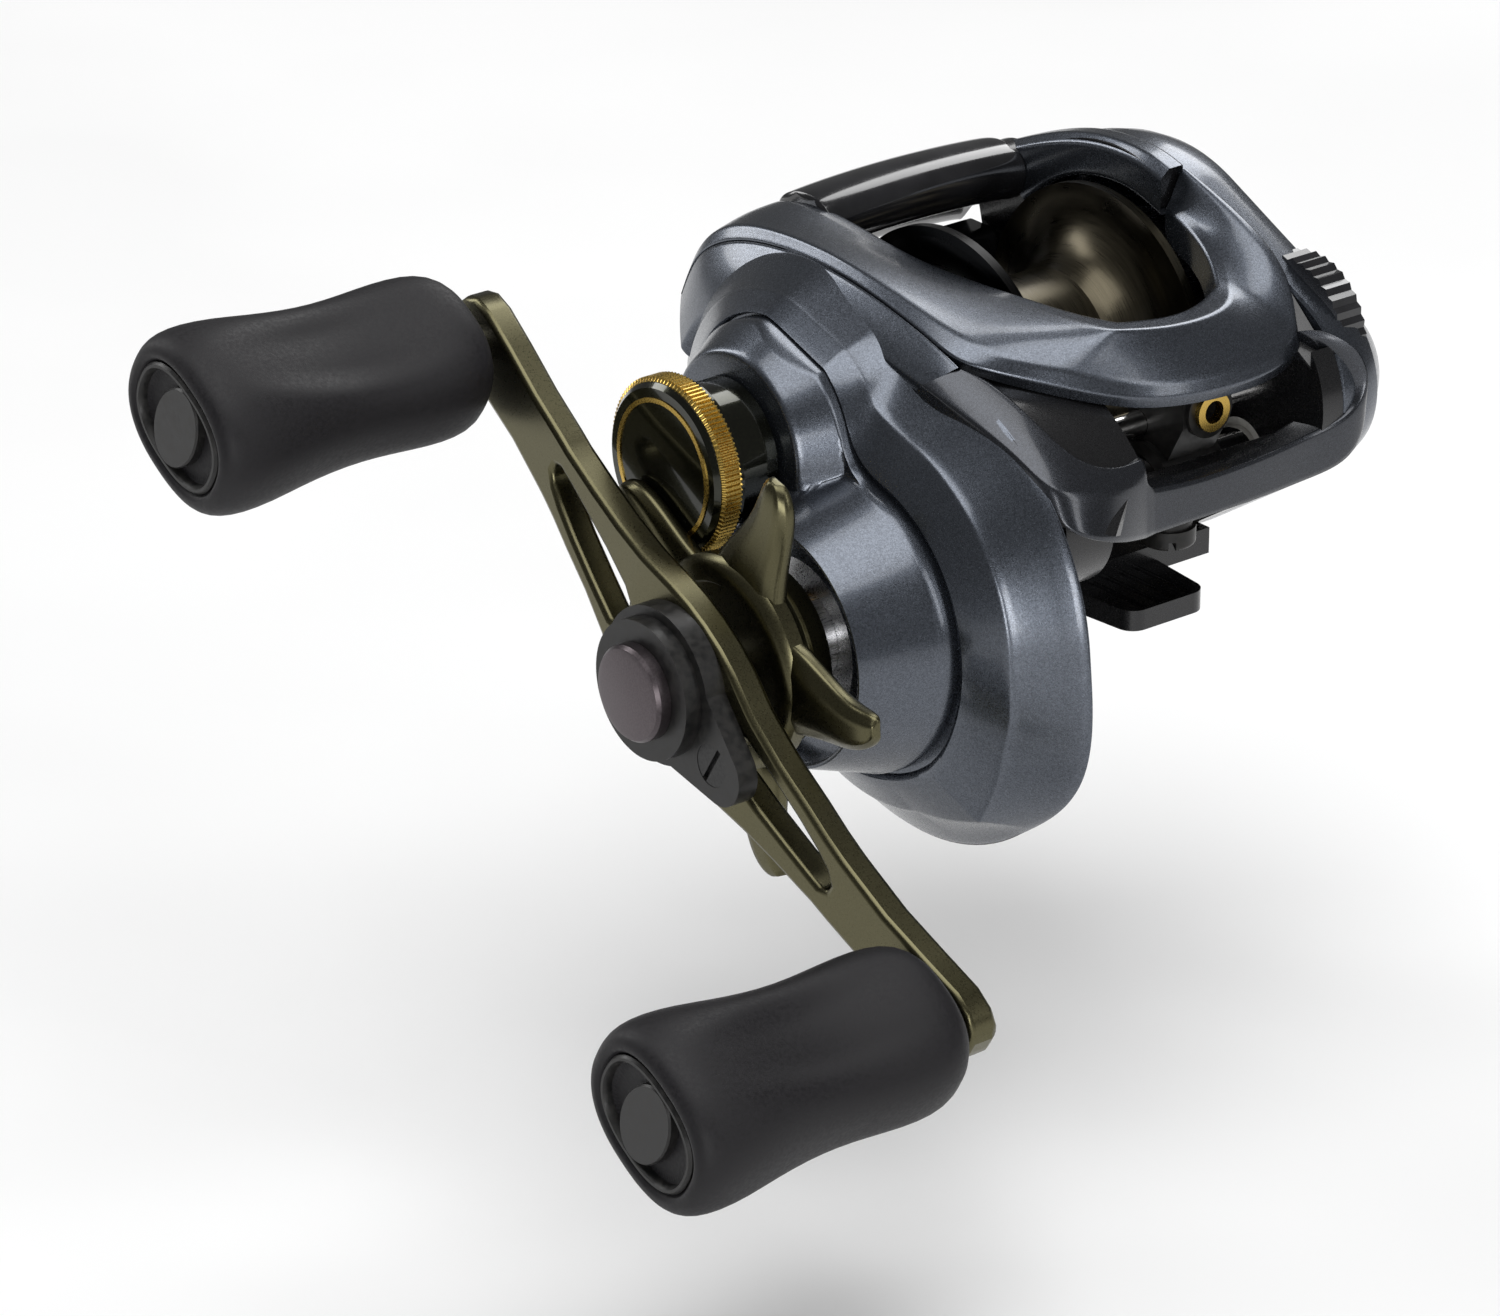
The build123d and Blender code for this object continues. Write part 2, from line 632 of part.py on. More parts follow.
def make_frame():
    """One-piece casting: side walls, rim of the gear case, front bar, thumb rest, deck and foot."""
    span = WALL_INNER + WALL_THICK / 2
    wide = 2 * CASE_RADIUS
    frame = case_space() - (case_space(RIM_WALL) & block(WALL_OUTER, wide, -wide, wide, -wide, wide))
    frame += extrude(on_side(-WALL_OUTER) * palm_outline(), amount=WALL_THICK)
    bar = block(-span, span, BAR_FRONT_Y - BAR_DEPTH, BAR_FRONT_Y, BAR_TOP_Z - BAR_HEIGHT, BAR_TOP_Z)
    frame += fillet(bar.edges().filter_by(Axis.X), BAR_ROUND)
    rest = Pos(REST_Y, REST_Z) * Rot(0, 0, REST_TILT) * Ellipse(REST_LENGTH / 2, REST_HEIGHT / 2)
    frame += extrude(on_side(-span) * rest, amount=2 * span)
    ear = [
        (REST_Y - REST_LENGTH / 2, REST_Z - REST_HEIGHT / 2),
        (REST_Y + REST_LENGTH / 2, REST_Z + REST_HEIGHT / 4),
        (REST_Y + REST_LENGTH, CASE_BACK_Z),
        (REST_Y, CASE_BACK_Z),
    ]
    frame += side_prism(ear, WALL_INNER, WALL_OUTER) + side_prism(ear, -WALL_OUTER, -WALL_INNER)
    frame += block(
        -span,
        span,
        BACK_BAR_Y - BACK_BAR_DEPTH / 2,
        BACK_BAR_Y + BACK_BAR_DEPTH / 2,
        BACK_BAR_Z - BACK_BAR_HEIGHT / 2,
        BACK_BAR_Z + BACK_BAR_HEIGHT / 2,
    )
    frame += block(-span, span, DECK_BACK_Y, DECK_FRONT_Y, FOOT_THICK / 2, SPOOL_Z - SPOOL_RADIUS - DECK_GAP)
    frame += make_foot()
    for zone, core in zip(hood_zone(SEAM_GAP), hood_blocks(HOOD_WALL + SEAM_GAP)):
        frame -= zone - core
    frame -= rod(-WALL_OUTER - OVERCUT, -WALL_INNER + OVERCUT, SPOOL_RADIUS + SPOOL_GAP / 2)
    for radius, y, z in (
        (SPOOL_BEARING_RADIUS, 0, SPOOL_Z),
        (DRIVE_BEARING_RADIUS, DRIVE_Y, DRIVE_Z),
        (WORM_BUSH_RADIUS, WORM_Y, WORM_Z),
        (GUIDE_ROD_RADIUS, GUIDE_ROD_Y, GUIDE_ROD_Z),
    ):
        frame -= rod(WALL_INNER - OVERCUT, WALL_OUTER + OVERCUT, radius, y, z)
    frame -= rod(-WALL_OUTER - OVERCUT, -WALL_INNER + OVERCUT, WORM_BUSH_RADIUS, WORM_Y, WORM_Z)
    frame -= rod(-WALL_OUTER - OVERCUT, -WALL_INNER + OVERCUT, GUIDE_ROD_RADIUS, GUIDE_ROD_Y, GUIDE_ROD_Z)
    frame -= rod(-WALL_OUTER - OVERCUT, -WALL_INNER + OVERCUT, LOCK_RADIUS + RUN_FIT, LOCK_Y, LOCK_Z)
    for y, z in cover_screw_places():
        frame -= rod(WALL_INNER - OVERCUT, WALL_INNER + COVER_SCREW_HEAD, COVER_SCREW_HEAD_RADIUS, y, z)
        frame -= rod(WALL_INNER - OVERCUT, WALL_OUTER + OVERCUT, COVER_SCREW_RADIUS, y, z)
    for y, z in yoke_places():
        frame -= rod(WALL_INNER - OVERCUT, WALL_OUTER + OVERCUT, YOKE_POST_RADIUS, y, z)
    frame -= block(
        WALL_INNER - OVERCUT,
        WALL_OUTER + OVERCUT,
        TAB_BACK_Y - SIDE_GAP,
        TAB_FRONT_Y + SIDE_GAP,
        TAB_LOW_Z - THUMB_TRAVEL - SIDE_GAP,
        TAB_TOP_Z + SIDE_GAP,
    )
    return largest(frame)


def cover_skin(inset=0.0):
    """Solid under the outer skin of the handle-side cover, with the skin moved in by inset."""
    rim = on_side(CASE_SEAM) * case_outline(inset)
    shoulder = on_side(SHOULDER_X - inset) * case_outline(SHOULDER_INSET + inset)
    boss_foot, dome_foot = BOSS_FOOT_RADIUS - inset, DOME_FOOT_RADIUS - inset
    saddle = on_side(DOME_FOOT_X - inset) * pear(0, SPOOL_Z, boss_foot, DRIVE_Y, DRIVE_Z, dome_foot)
    skin = loft([rim, shoulder], ruled=True) + loft([shoulder, saddle], ruled=True)
    foot = SHOULDER_X - inset
    dome_top = DOME_TOP_X - inset
    dome = [(foot, 0), (foot, dome_foot + DOME_FLARE), (dome_top, DOME_TOP_RADIUS - inset), (dome_top, 0)]
    boss_top = BOSS_TOP_X - inset
    boss = [(foot, 0), (foot, boss_foot + DOME_FLARE), (boss_top, BOSS_TOP_RADIUS - inset), (boss_top, 0)]
    return skin + turned(dome, DRIVE_Y, DRIVE_Z) + turned(boss)


def make_case_cover():
    """Handle-side cover: sloped rim, shoulder, gear dome and tension-knob boss, hollow inside."""
    skin = cover_skin()
    cover = skin - cover_skin(COVER_WALL)
    seat_top = DOME_TOP_X - RECESS_DEPTH
    cover += ring(SEAT_FOOT_X, seat_top, ROLLER_RADIUS + SEAT_WALL, ROLLER_RADIUS, DRIVE_Y, DRIVE_Z)
    cover += ring(NECK_FOOT_X, NECK_TOP_X, NECK_RADIUS, NECK_BORE)
    for y, z in cover_screw_places():
        cover += rod(CASE_SEAM, COVER_BOSS_END, COVER_BOSS_RADIUS, y, z) & skin
        cover += rod(WALL_OUTER, CASE_SEAM, COVER_BOSS_RADIUS, y, z)
        cover -= rod(WALL_OUTER, COVER_SCREW_END + OVERCUT, COVER_SCREW_RADIUS, y, z)
    cover -= rod(DOME_TOP_X - RECESS_DEPTH, DOME_TOP_X + OVERCUT, RECESS_RADIUS, DRIVE_Y, DRIVE_Z)
    cover -= rod(SEAT_FOOT_X, DOME_TOP_X, ROLLER_RADIUS, DRIVE_Y, DRIVE_Z)
    cover -= rod(SEAT_FOOT_X, NECK_TOP_X, NECK_BORE)
    cover -= ring(BOSS_TOP_X, DOME_TOP_X + OVERCUT, KNOB_BARREL_RADIUS + SIDE_GAP, NECK_RADIUS)
    return largest(cover)


def make_cover_screws():
    """Screws that hold the handle-side cover from inside the frame."""
    screws = []
    for y, z in cover_screw_places():
        head = rod(WALL_INNER, WALL_INNER + COVER_SCREW_HEAD, COVER_SCREW_HEAD_RADIUS, y, z)
        screws.append(head + rod(WALL_INNER + COVER_SCREW_HEAD, COVER_SCREW_END, COVER_SCREW_RADIUS, y, z))
    return Compound(screws)


def palm_skin(inset=0.0):
    """Solid under the outer skin of the palm-side cover, with the skin moved in by inset."""
    rim = on_side(-WALL_OUTER) * palm_outline(inset)
    edge = on_side(-WALL_OUTER - PALM_EDGE_DEPTH + inset / 2) * palm_outline(PALM_EDGE_INSET + inset)
    top = on_side(-WALL_OUTER - PALM_DEPTH + inset) * palm_outline(PALM_TOP_INSET + inset / 2)
    return loft([rim, edge], ruled=True) + loft([edge, top], ruled=True)


def make_palm_cover():
    """Palm-side cover with its spigot in the frame, bearing hub and window of the brake dial."""
    skin = palm_skin()
    cover = skin - palm_skin(COVER_WALL)
    spigot = SPOOL_RADIUS + SPOOL_GAP / 2 - RUN_FIT
    deep = -WALL_OUTER - PALM_DEPTH
    flange = ring(-WALL_OUTER - COVER_WALL, -WALL_OUTER, spigot + COVER_WALL, spigot - COVER_WALL)
    cover += flange & skin
    cover += ring(-WALL_OUTER - COVER_WALL, -WALL_OUTER + SPIGOT_DEPTH, spigot, spigot - COVER_WALL)
    cover += ring(deep, PALM_HUB_X, PALM_HUB_RADIUS, PALM_BEARING_RADIUS) & skin
    cover += rod(deep, DIAL_X - SIDE_GAP, DIAL_BOSS_RADIUS, DIAL_Y, DIAL_Z) & skin
    cover += rod(LOCK_SEAT_X, -WALL_OUTER, LOCK_BOSS_RADIUS, LOCK_Y, LOCK_Z)
    cover -= rod(deep, LOCK_SEAT_X, LOCK_HEAD_RADIUS + RUN_FIT, LOCK_Y, LOCK_Z)
    cover -= rod(DIAL_X - SIDE_GAP, DIAL_X + DIAL_THICK + SIDE_GAP, DIAL_RADIUS + SIDE_GAP, DIAL_Y, DIAL_Z)
    cover -= rod(DIAL_X - DIAL_AXLE - SIDE_GAP, DIAL_X, DIAL_AXLE_RADIUS + RUN_FIT, DIAL_Y, DIAL_Z)
    cover -= rod(deep - OVERCUT, -WALL_OUTER + OVERCUT, LOCK_RADIUS, LOCK_Y, LOCK_Z)
    cover -= rod(-WALL_OUTER, -WALL_INNER, WORM_BUSH_RADIUS + RUN_FIT, WORM_Y, WORM_Z)
    cover -= rod(-WALL_OUTER, -WALL_INNER, GUIDE_ROD_RADIUS + RUN_FIT, GUIDE_ROD_Y, GUIDE_ROD_Z)
    return largest(cover)


def make_lock_screw():
    """Captive screw that locks the palm-side cover to the frame."""
    screw = rod(LOCK_SEAT_X, LOCK_TIP_X, LOCK_RADIUS, LOCK_Y, LOCK_Z)
    screw += rod(LOCK_SEAT_X - LOCK_HEAD, LOCK_SEAT_X, LOCK_HEAD_RADIUS, LOCK_Y, LOCK_Z)
    slot = block(
        LOCK_SEAT_X - LOCK_HEAD - OVERCUT,
        LOCK_SEAT_X - LOCK_HEAD / 2,
        LOCK_Y - LOCK_HEAD_RADIUS,
        LOCK_Y + LOCK_HEAD_RADIUS,
        LOCK_Z - SCREW_SLOT / 2,
        LOCK_Z + SCREW_SLOT / 2,
    )
    return screw - slot


def make_brake_dial():
    """Knurled wheel that sets the brake, with its axle."""
    dial = notched(DIAL_X, DIAL_X + DIAL_THICK, DIAL_RADIUS, DIAL_NOTCH_DEPTH, DIAL_NOTCHES, DIAL_Y, DIAL_Z)
    return dial + rod(DIAL_X - DIAL_AXLE, DIAL_X, DIAL_AXLE_RADIUS, DIAL_Y, DIAL_Z)


def make_brake_drum():
    """Cup inside the palm-side cover that the brake shoes rub on."""
    inner = DRUM_RADIUS - DRUM_WALL
    return turned(
        [
            (DRUM_X, PALM_HUB_RADIUS),
            (DRUM_X, DRUM_RADIUS),
            (DRUM_MOUTH_X, DRUM_RADIUS),
            (DRUM_MOUTH_X, inner),
            (DRUM_X + DRUM_WALL, inner),
            (DRUM_X + DRUM_WALL, PALM_HUB_RADIUS),
        ]
    )


def shoe_angles():
    """Angles of the brake shoes round the spool axis."""
    return [360 / SHOE_COUNT * k for k in range(SHOE_COUNT)]


def make_brake_hub():
    """Hub on the palm end of the spool with one pin for each brake shoe."""
    hub = ring(BRAKE_HUB_X, -FLANGE_X, BRAKE_HUB_RADIUS, SHAFT_RADIUS)
    middle = (SHOE_X0 + SHOE_X1) / 2
    for angle in shoe_angles():
        reach = SHOE_OUTER - SHAFT_RADIUS - 2 * OVERCUT
        pin = Pos(middle, 0, (SHAFT_RADIUS + SHOE_OUTER) / 2 + OVERCUT) * Cylinder(SHOE_PIN_RADIUS, reach)
        hub += Pos(0, 0, SPOOL_Z) * Rot(angle, 0, 0) * pin
    return largest(hub - rod(BRAKE_HUB_X - OVERCUT, -FLANGE_X + OVERCUT, SHAFT_RADIUS))


def make_brake_shoes():
    """Sliding shoes on the pins of the brake hub."""
    middle = (SHOE_X0 + SHOE_X1) / 2
    height = SHOE_OUTER - SHOE_INNER
    shoe = Pos(0, 0, (SHOE_INNER + SHOE_OUTER) / 2) * Box(SHOE_X1 - SHOE_X0, SHOE_WIDTH, height)
    shoe -= Pos(0, 0, SHOE_OUTER / 2) * Cylinder(SHOE_PIN_RADIUS, 2 * SHOE_OUTER)
    return Compound([Pos(middle, 0, SPOOL_Z) * Rot(angle, 0, 0) * shoe for angle in shoe_angles()])


def make_spool():
    """Spool with flared arbor, thin skin and a central web on the shaft."""
    face, rim = FLANGE_X, FLANGE_X - FLANGE_THICK
    half = ARBOR_LENGTH / 2
    web = SPOOL_WEB / 2
    flare_x = (rim + half) / 2 + FLANGE_THICK
    lip = SPOOL_RADIUS - FLANGE_THICK
    inside = ARBOR_RADIUS - SPOOL_SKIN

    def outer(side):
        lip = (side * rim, SPOOL_RADIUS)
        return ThreePointArc(lip, (side * flare_x, ARBOR_FLARE), (side * half, ARBOR_RADIUS))

    def skin(side):
        hollow = (side * (flare_x + SPOOL_SKIN), ARBOR_FLARE - SPOOL_SKIN)
        return ThreePointArc((side * face, lip), hollow, (side * half, inside))

    edges = [
        Line((-face, SPOOL_RADIUS), (-rim, SPOOL_RADIUS)),
        outer(-1),
        Line((-half, ARBOR_RADIUS), (half, ARBOR_RADIUS)),
        outer(1),
        Line((rim, SPOOL_RADIUS), (face, SPOOL_RADIUS)),
        Line((face, SPOOL_RADIUS), (face, lip)),
        skin(1),
        Line((half, inside), (web, inside)),
        Line((web, inside), (web, SHAFT_RADIUS)),
        Line((web, SHAFT_RADIUS), (-web, SHAFT_RADIUS)),
        Line((-web, SHAFT_RADIUS), (-web, inside)),
        Line((-web, inside), (-half, inside)),
        skin(-1),
        Line((-face, lip), (-face, SPOOL_RADIUS)),
    ]
    return Pos(0, 0, SPOOL_Z) * revolve(make_face(edges), axis=Axis.X)


def make_spool_shaft():
    """Stepped spool shaft through pinion and tension knob."""
    tip = SHAFT_TIP_RADIUS
    shaft = rod(SHAFT_PALM_X, SHAFT_STEP_X, SHAFT_RADIUS) + rod(SHAFT_STEP_X, SHAFT_TIP_X, tip)
    return shaft - Pos(PIN_X, 0, SPOOL_Z) * Cylinder(PIN_RADIUS, 2 * PIN_REACH)


def make_pinion():
    """Pinion with clutch slot, yoke groove and journal."""
    tooth_at = DRIVE_ANGLE + 180 / PINION_TEETH
    teeth = gear_outline(0, SPOOL_Z, PINION_TEETH, MODULE, FULL_ADDENDUM, tooth_at)
    pinion = side_prism(teeth, PINION_X, PINION_TEETH_END)
    pinion += rod(PINION_TEETH_END, PINION_END_X, PINION_NECK_RADIUS)
    pinion += rod(PINION_NECK_END, PINION_COLLAR_END, PINION_COLLAR_RADIUS)
    pinion -= rod(PINION_X - OVERCUT, PINION_END_X + OVERCUT, PINION_BORE)
    half = PINION_SLOT / 2
    wide = PINION_COLLAR_RADIUS + OVERCUT
    slot_end = PINION_X + PINION_SLOT_DEPTH
    pinion -= block(PINION_X - OVERCUT, slot_end, -half, half, SPOOL_Z - wide, SPOOL_Z + wide)
    return largest(pinion)


def yoke_places():
    """Centres (y, z) of the two yoke posts, on the line across the gear centres."""
    turn = radians(DRIVE_ANGLE + 90)
    return [(s * YOKE_REACH * cos(turn), SPOOL_Z + s * YOKE_REACH * sin(turn)) for s in (1, -1)]


def make_yoke():
    """Clutch yoke: a plate in the groove of the pinion, guided by two posts."""
    plate = Pos(0, SPOOL_Z) * Rot(0, 0, DRIVE_ANGLE + 90) * SlotCenterToCenter(2 * YOKE_REACH, YOKE_WIDTH)
    mouth = Pos(0, SPOOL_Z) * Rot(0, 0, DRIVE_ANGLE) * Pos(YOKE_WIDTH / 2, 0)
    width = 2 * (PINION_NECK_RADIUS + RUN_FIT)
    plate = plate - mouth * Rectangle(YOKE_WIDTH, width) - Pos(0, SPOOL_Z) * Circle(width / 2)
    for y, z in yoke_places():
        plate = plate - Pos(y, z) * Circle(YOKE_POST_RADIUS + RUN_FIT)
    return extrude(on_side(YOKE_X) * plate, amount=YOKE_THICK)


def make_thumb_bar():
    """Thumb bar behind the spool, with the tab that passes the wall to the clutch plate."""
    span = WALL_INNER - SIDE_GAP
    bar = block(-span, span, THUMB_BACK_Y, THUMB_FRONT_Y, THUMB_LOW_Z, THUMB_TOP_Z)
    bar = fillet(bar.edges().filter_by(Axis.X), THUMB_ROUND)
    return bar + block(span, CLUTCH_PLATE_X, TAB_BACK_Y, TAB_FRONT_Y, TAB_LOW_Z, TAB_TOP_Z)


def make_clutch_plate():
    """Plate on the tab of the thumb bar that lifts the yoke."""
    end = CLUTCH_PLATE_X + CLUTCH_PLATE_THICK
    return block(CLUTCH_PLATE_X, end, TAB_BACK_Y, CLUTCH_PLATE_FRONT_Y, TAB_LOW_Z, TAB_TOP_Z)


def make_drive_shaft():
    """Drive shaft from the frame bearing to the handle nut."""
    return turned(
        [
            (DRIVE_SHAFT_X, 0),
            (DRIVE_SHAFT_X, DRIVE_JOURNAL_RADIUS),
            (WALL_OUTER + RUN_FIT, DRIVE_JOURNAL_RADIUS),
            (WALL_OUTER + RUN_FIT, DRIVE_SHAFT_RADIUS),
            (DRIVE_THREAD_X, DRIVE_SHAFT_RADIUS),
            (DRIVE_THREAD_X, DRIVE_JOURNAL_RADIUS),
            (DRIVE_END_X, DRIVE_JOURNAL_RADIUS),
            (DRIVE_END_X, 0),
        ],
        DRIVE_Y,
        DRIVE_Z,
    )


def make_drive_gear():
    """Drive gear with one tooth on the line to the pinion."""
    teeth = gear_outline(DRIVE_Y, DRIVE_Z, DRIVE_TEETH, MODULE, STUB_ADDENDUM, DRIVE_ANGLE + 180)
    wheel = side_prism(teeth, DRIVE_GEAR_X, DRAG_X)
    return wheel - rod(DRIVE_GEAR_X - OVERCUT, DRAG_X + OVERCUT, DRIVE_SHAFT_RADIUS, DRIVE_Y, DRIVE_Z)


def make_wind_gears():
    """Level-wind drive gear on the drive shaft and worm gear on the worm."""
    end = WORM_GEAR_END
    teeth = gear_outline(DRIVE_Y, DRIVE_Z, WIND_DRIVE_TEETH, WIND_MODULE, STUB_ADDENDUM, WIND_ANGLE)
    drive = side_prism(teeth, WIND_GEAR_X, end) - rod(WIND_GEAR_X, end, DRIVE_SHAFT_RADIUS, DRIVE_Y, DRIVE_Z)
    tooth_at = WIND_ANGLE + 180 + 180 / WIND_WORM_TEETH
    teeth = gear_outline(WORM_Y, WORM_Z, WIND_WORM_TEETH, WIND_MODULE, STUB_ADDENDUM, tooth_at)
    worm = side_prism(teeth, WIND_GEAR_X, end) - rod(WIND_GEAR_X, end, WORM_END_RADIUS, WORM_Y, WORM_Z)
    return drive, worm


def make_drag_springs():
    """Two coned spring washers back to back under the star drag."""
    washers = []
    far_x = SLEEVE_END_X + 2 * SPRING_DISC_RISE
    for x, rise in ((SLEEVE_END_X, SPRING_DISC_RISE), (far_x, -SPRING_DISC_RISE)):
        thick = SPRING_DISC_THICK if rise > 0 else -SPRING_DISC_THICK
        cone = [
            (x, DRIVE_SHAFT_RADIUS),
            (x + rise - thick, SPRING_DISC_RADIUS),
            (x + rise, SPRING_DISC_RADIUS),
            (x + thick, DRIVE_SHAFT_RADIUS),
        ]
        washers.append(turned(cone, DRIVE_Y, DRIVE_Z))
    return Compound(washers)


def make_star():
    """Star drag: cupped hub with five swept arms."""
    hub = turned(
        [
            (STAR_HUB_X, DRIVE_SHAFT_RADIUS),
            (STAR_HUB_X, STAR_HUB_FOOT_RADIUS),
            (STAR_X, STAR_HUB_RADIUS),
            (STAR_HUB_TOP - OVERCUT, STAR_HUB_RADIUS),
            (STAR_HUB_TOP, STAR_HUB_RADIUS - OVERCUT),
            (STAR_HUB_TOP, DRIVE_SHAFT_RADIUS),
        ],
        DRIVE_Y,
        DRIVE_Z,
    )
    root = STAR_HUB_RADIUS - OVERCUT
    arm = Polyline(
        (root, -STAR_ARM_FOOT),
        (STAR_RADIUS - 2 * STAR_ARM_TIP, -STAR_SWEEP),
        (STAR_RADIUS, -STAR_ARM_TIP / 2),
        (STAR_RADIUS, STAR_ARM_TIP / 2),
        (STAR_RADIUS - STAR_ARM_TIP, STAR_ARM_TIP),
        (root, STAR_ARM_FOOT),
        close=True,
    )
    blade = extrude(make_face(arm), amount=STAR_THICK)
    blade = fillet(blade.edges().filter_by(Axis.Z).sort_by(Axis.X)[2:], STAR_ARM_TIP / 4)
    star = hub
    for k in range(STAR_ARMS):
        turn = radians(STAR_PHASE + 360 / STAR_ARMS * k)
        place = Plane(origin=(STAR_X, DRIVE_Y, DRIVE_Z), x_dir=(0, cos(turn), sin(turn)), z_dir=(1, 0, 0))
        star += place * blade
    star -= hexagon(STAR_HUB_X, STAR_HUB_X + STAR_NUT_LENGTH, STAR_NUT_FLATS, DRIVE_Y, DRIVE_Z)
    star -= rod(STAR_HUB_X - OVERCUT, STAR_HUB_TOP + OVERCUT, DRIVE_SHAFT_RADIUS + RUN_FIT, DRIVE_Y, DRIVE_Z)
    return largest(star)


def make_star_nut():
    """Nut in the hub of the star drag."""
    nut = hexagon(STAR_HUB_X, STAR_HUB_X + STAR_NUT_LENGTH, STAR_NUT_FLATS, DRIVE_Y, DRIVE_Z)
    return nut - rod(STAR_HUB_X, STAR_HUB_X + STAR_NUT_LENGTH, DRIVE_SHAFT_RADIUS + RUN_FIT, DRIVE_Y, DRIVE_Z)


def outer_rim(solid):
    """Edges round the faces of a solid that look along +X."""
    seen = {}
    for face in solid.faces():
        if face.normal_at().X < 1 / 2:
            continue
        for edge in face.edges():
            middle = edge.center()
            seen.setdefault((round(middle.X, 3), round(middle.Y, 3), round(middle.Z, 3)), []).append(edge)
    return [edges[0] for edges in seen.values() if len(edges) == 1]


def make_handle_arm():
    """Swept double arm with bevelled edges, a slot in each arm and holes for shaft and posts."""
    place = handle_frame()
    reach = HANDLE_ARM + HANDLE_END_RADIUS
    drop = HANDLE_DROP * (reach - HANDLE_FLAT) / (HANDLE_ARM - HANDLE_FLAT)
    high, low = HANDLE_OUTER_X, HANDLE_INNER_X
    outline = [(HANDLE_FLAT, high), (reach, high - drop), (reach, low - drop), (HANDLE_FLAT, low)]
    side = Polyline(*outline, *[(-t, x) for t, x in reversed(outline)], close=True)
    upright = Plane(origin=place.origin, x_dir=place.x_dir, z_dir=-place.y_dir)
    arm = extrude(upright * make_face(side), amount=HANDLE_HUB_RADIUS + OVERCUT, both=True)
    plan = Circle(HANDLE_HUB_RADIUS)
    for end in (-HANDLE_ARM, HANDLE_ARM):
        plan += pear(0, 0, HANDLE_HUB_RADIUS - OVERCUT, end, 0, HANDLE_END_RADIUS)
    arm = largest(extrude(place * plan, amount=HANDLE_OUTER_X + OVERCUT) & arm)
    arm = chamfer(outer_rim(arm), HANDLE_BEVEL)
    for way in (1, -1):
        slot = Polyline(
            (way * SLOT_NEAR, -SLOT_NEAR_HALF),
            (way * SLOT_FAR, -SLOT_FAR_HALF),
            (way * SLOT_FAR, SLOT_FAR_HALF),
            (way * SLOT_NEAR, SLOT_NEAR_HALF),
            close=True,
        )
        cutter = extrude(place * make_face(slot), amount=HANDLE_OUTER_X + OVERCUT)
        arm -= fillet(cutter.edges().filter_by(Axis.X), SLOT_FAR_HALF - RUN_FIT)
        arm -= extrude(place * Pos(way * HANDLE_ARM, 0) * Circle(POST_RADIUS), amount=HANDLE_OUTER_X)
    return largest(arm - rod(0, HANDLE_OUTER_X + OVERCUT, DRIVE_JOURNAL_RADIUS, DRIVE_Y, DRIVE_Z))


def make_handle_nut():
    """Six-sided handle nut with a round button on top."""
    nut = hexagon(HANDLE_OUTER_X, NUT_HEX_END, NUT_FLATS, DRIVE_Y, DRIVE_Z)
    button = rod(NUT_HEX_END, NUT_TOP_X, NUT_BUTTON_RADIUS, DRIVE_Y, DRIVE_Z)
    nut += fillet(button.edges().sort_by(Axis.X)[-1], NUT_BUTTON_RADIUS / 6)
    return nut - rod(HANDLE_OUTER_X, NUT_HEX_END, DRIVE_JOURNAL_RADIUS, DRIVE_Y, DRIVE_Z)


def make_retainer():
    """Retainer plate round the nut with a tail for its screw."""
    place = handle_frame()
    plan = Circle(RETAINER_RADIUS) + pear(0, 0, RETAINER_TOP_RADIUS, RETAINER_TAIL, 0, RETAINER_TAIL_RADIUS)
    plate = extrude(place.offset(HANDLE_OUTER_X) * plan, amount=RETAINER_STEP_X - HANDLE_OUTER_X)
    plate += rod(RETAINER_STEP_X, RETAINER_TOP_X, RETAINER_TOP_RADIUS, DRIVE_Y, DRIVE_Z)
    plate -= rod(HANDLE_OUTER_X - OVERCUT, RETAINER_TOP_X + OVERCUT, RETAINER_BORE, DRIVE_Y, DRIVE_Z)
    head = Pos(SCREW_AT, 0) * Circle(SCREW_HEAD_RADIUS)
    plate -= extrude(place.offset(RETAINER_STEP_X - SCREW_HEAD) * head, amount=RETAINER_TOP_X)
    plate -= extrude(place * Pos(SCREW_AT, 0) * Circle(SCREW_SHANK), amount=RETAINER_TOP_X)
    return largest(plate)


def make_retainer_screw():
    """Screw of the retainer, with a slotted head."""
    place = handle_frame()
    seat = RETAINER_STEP_X - SCREW_HEAD
    head = Pos(SCREW_AT, 0) * Circle(SCREW_HEAD_RADIUS)
    shank = Pos(SCREW_AT, 0) * Circle(SCREW_SHANK)
    screw = extrude(place.offset(seat) * head, amount=SCREW_HEAD - RUN_FIT)
    screw += extrude(place.offset(HANDLE_OUTER_X) * shank, amount=seat - HANDLE_OUTER_X)
    slot = Pos(SCREW_AT, 0) * Rectangle(SCREW_SLOT, 2 * SCREW_HEAD_RADIUS + OVERCUT)
    return screw - extrude(place.offset(seat + SCREW_HEAD / 2) * slot, amount=SCREW_HEAD)


def knob_place(way):
    """Plane on the axis of one knob, at x = 0; way is 1 for the lower knob and -1 for the upper knob."""
    place = handle_frame()
    return Plane(origin=place.origin + place.x_dir * (way * HANDLE_ARM), x_dir=place.x_dir, z_dir=place.z_dir)


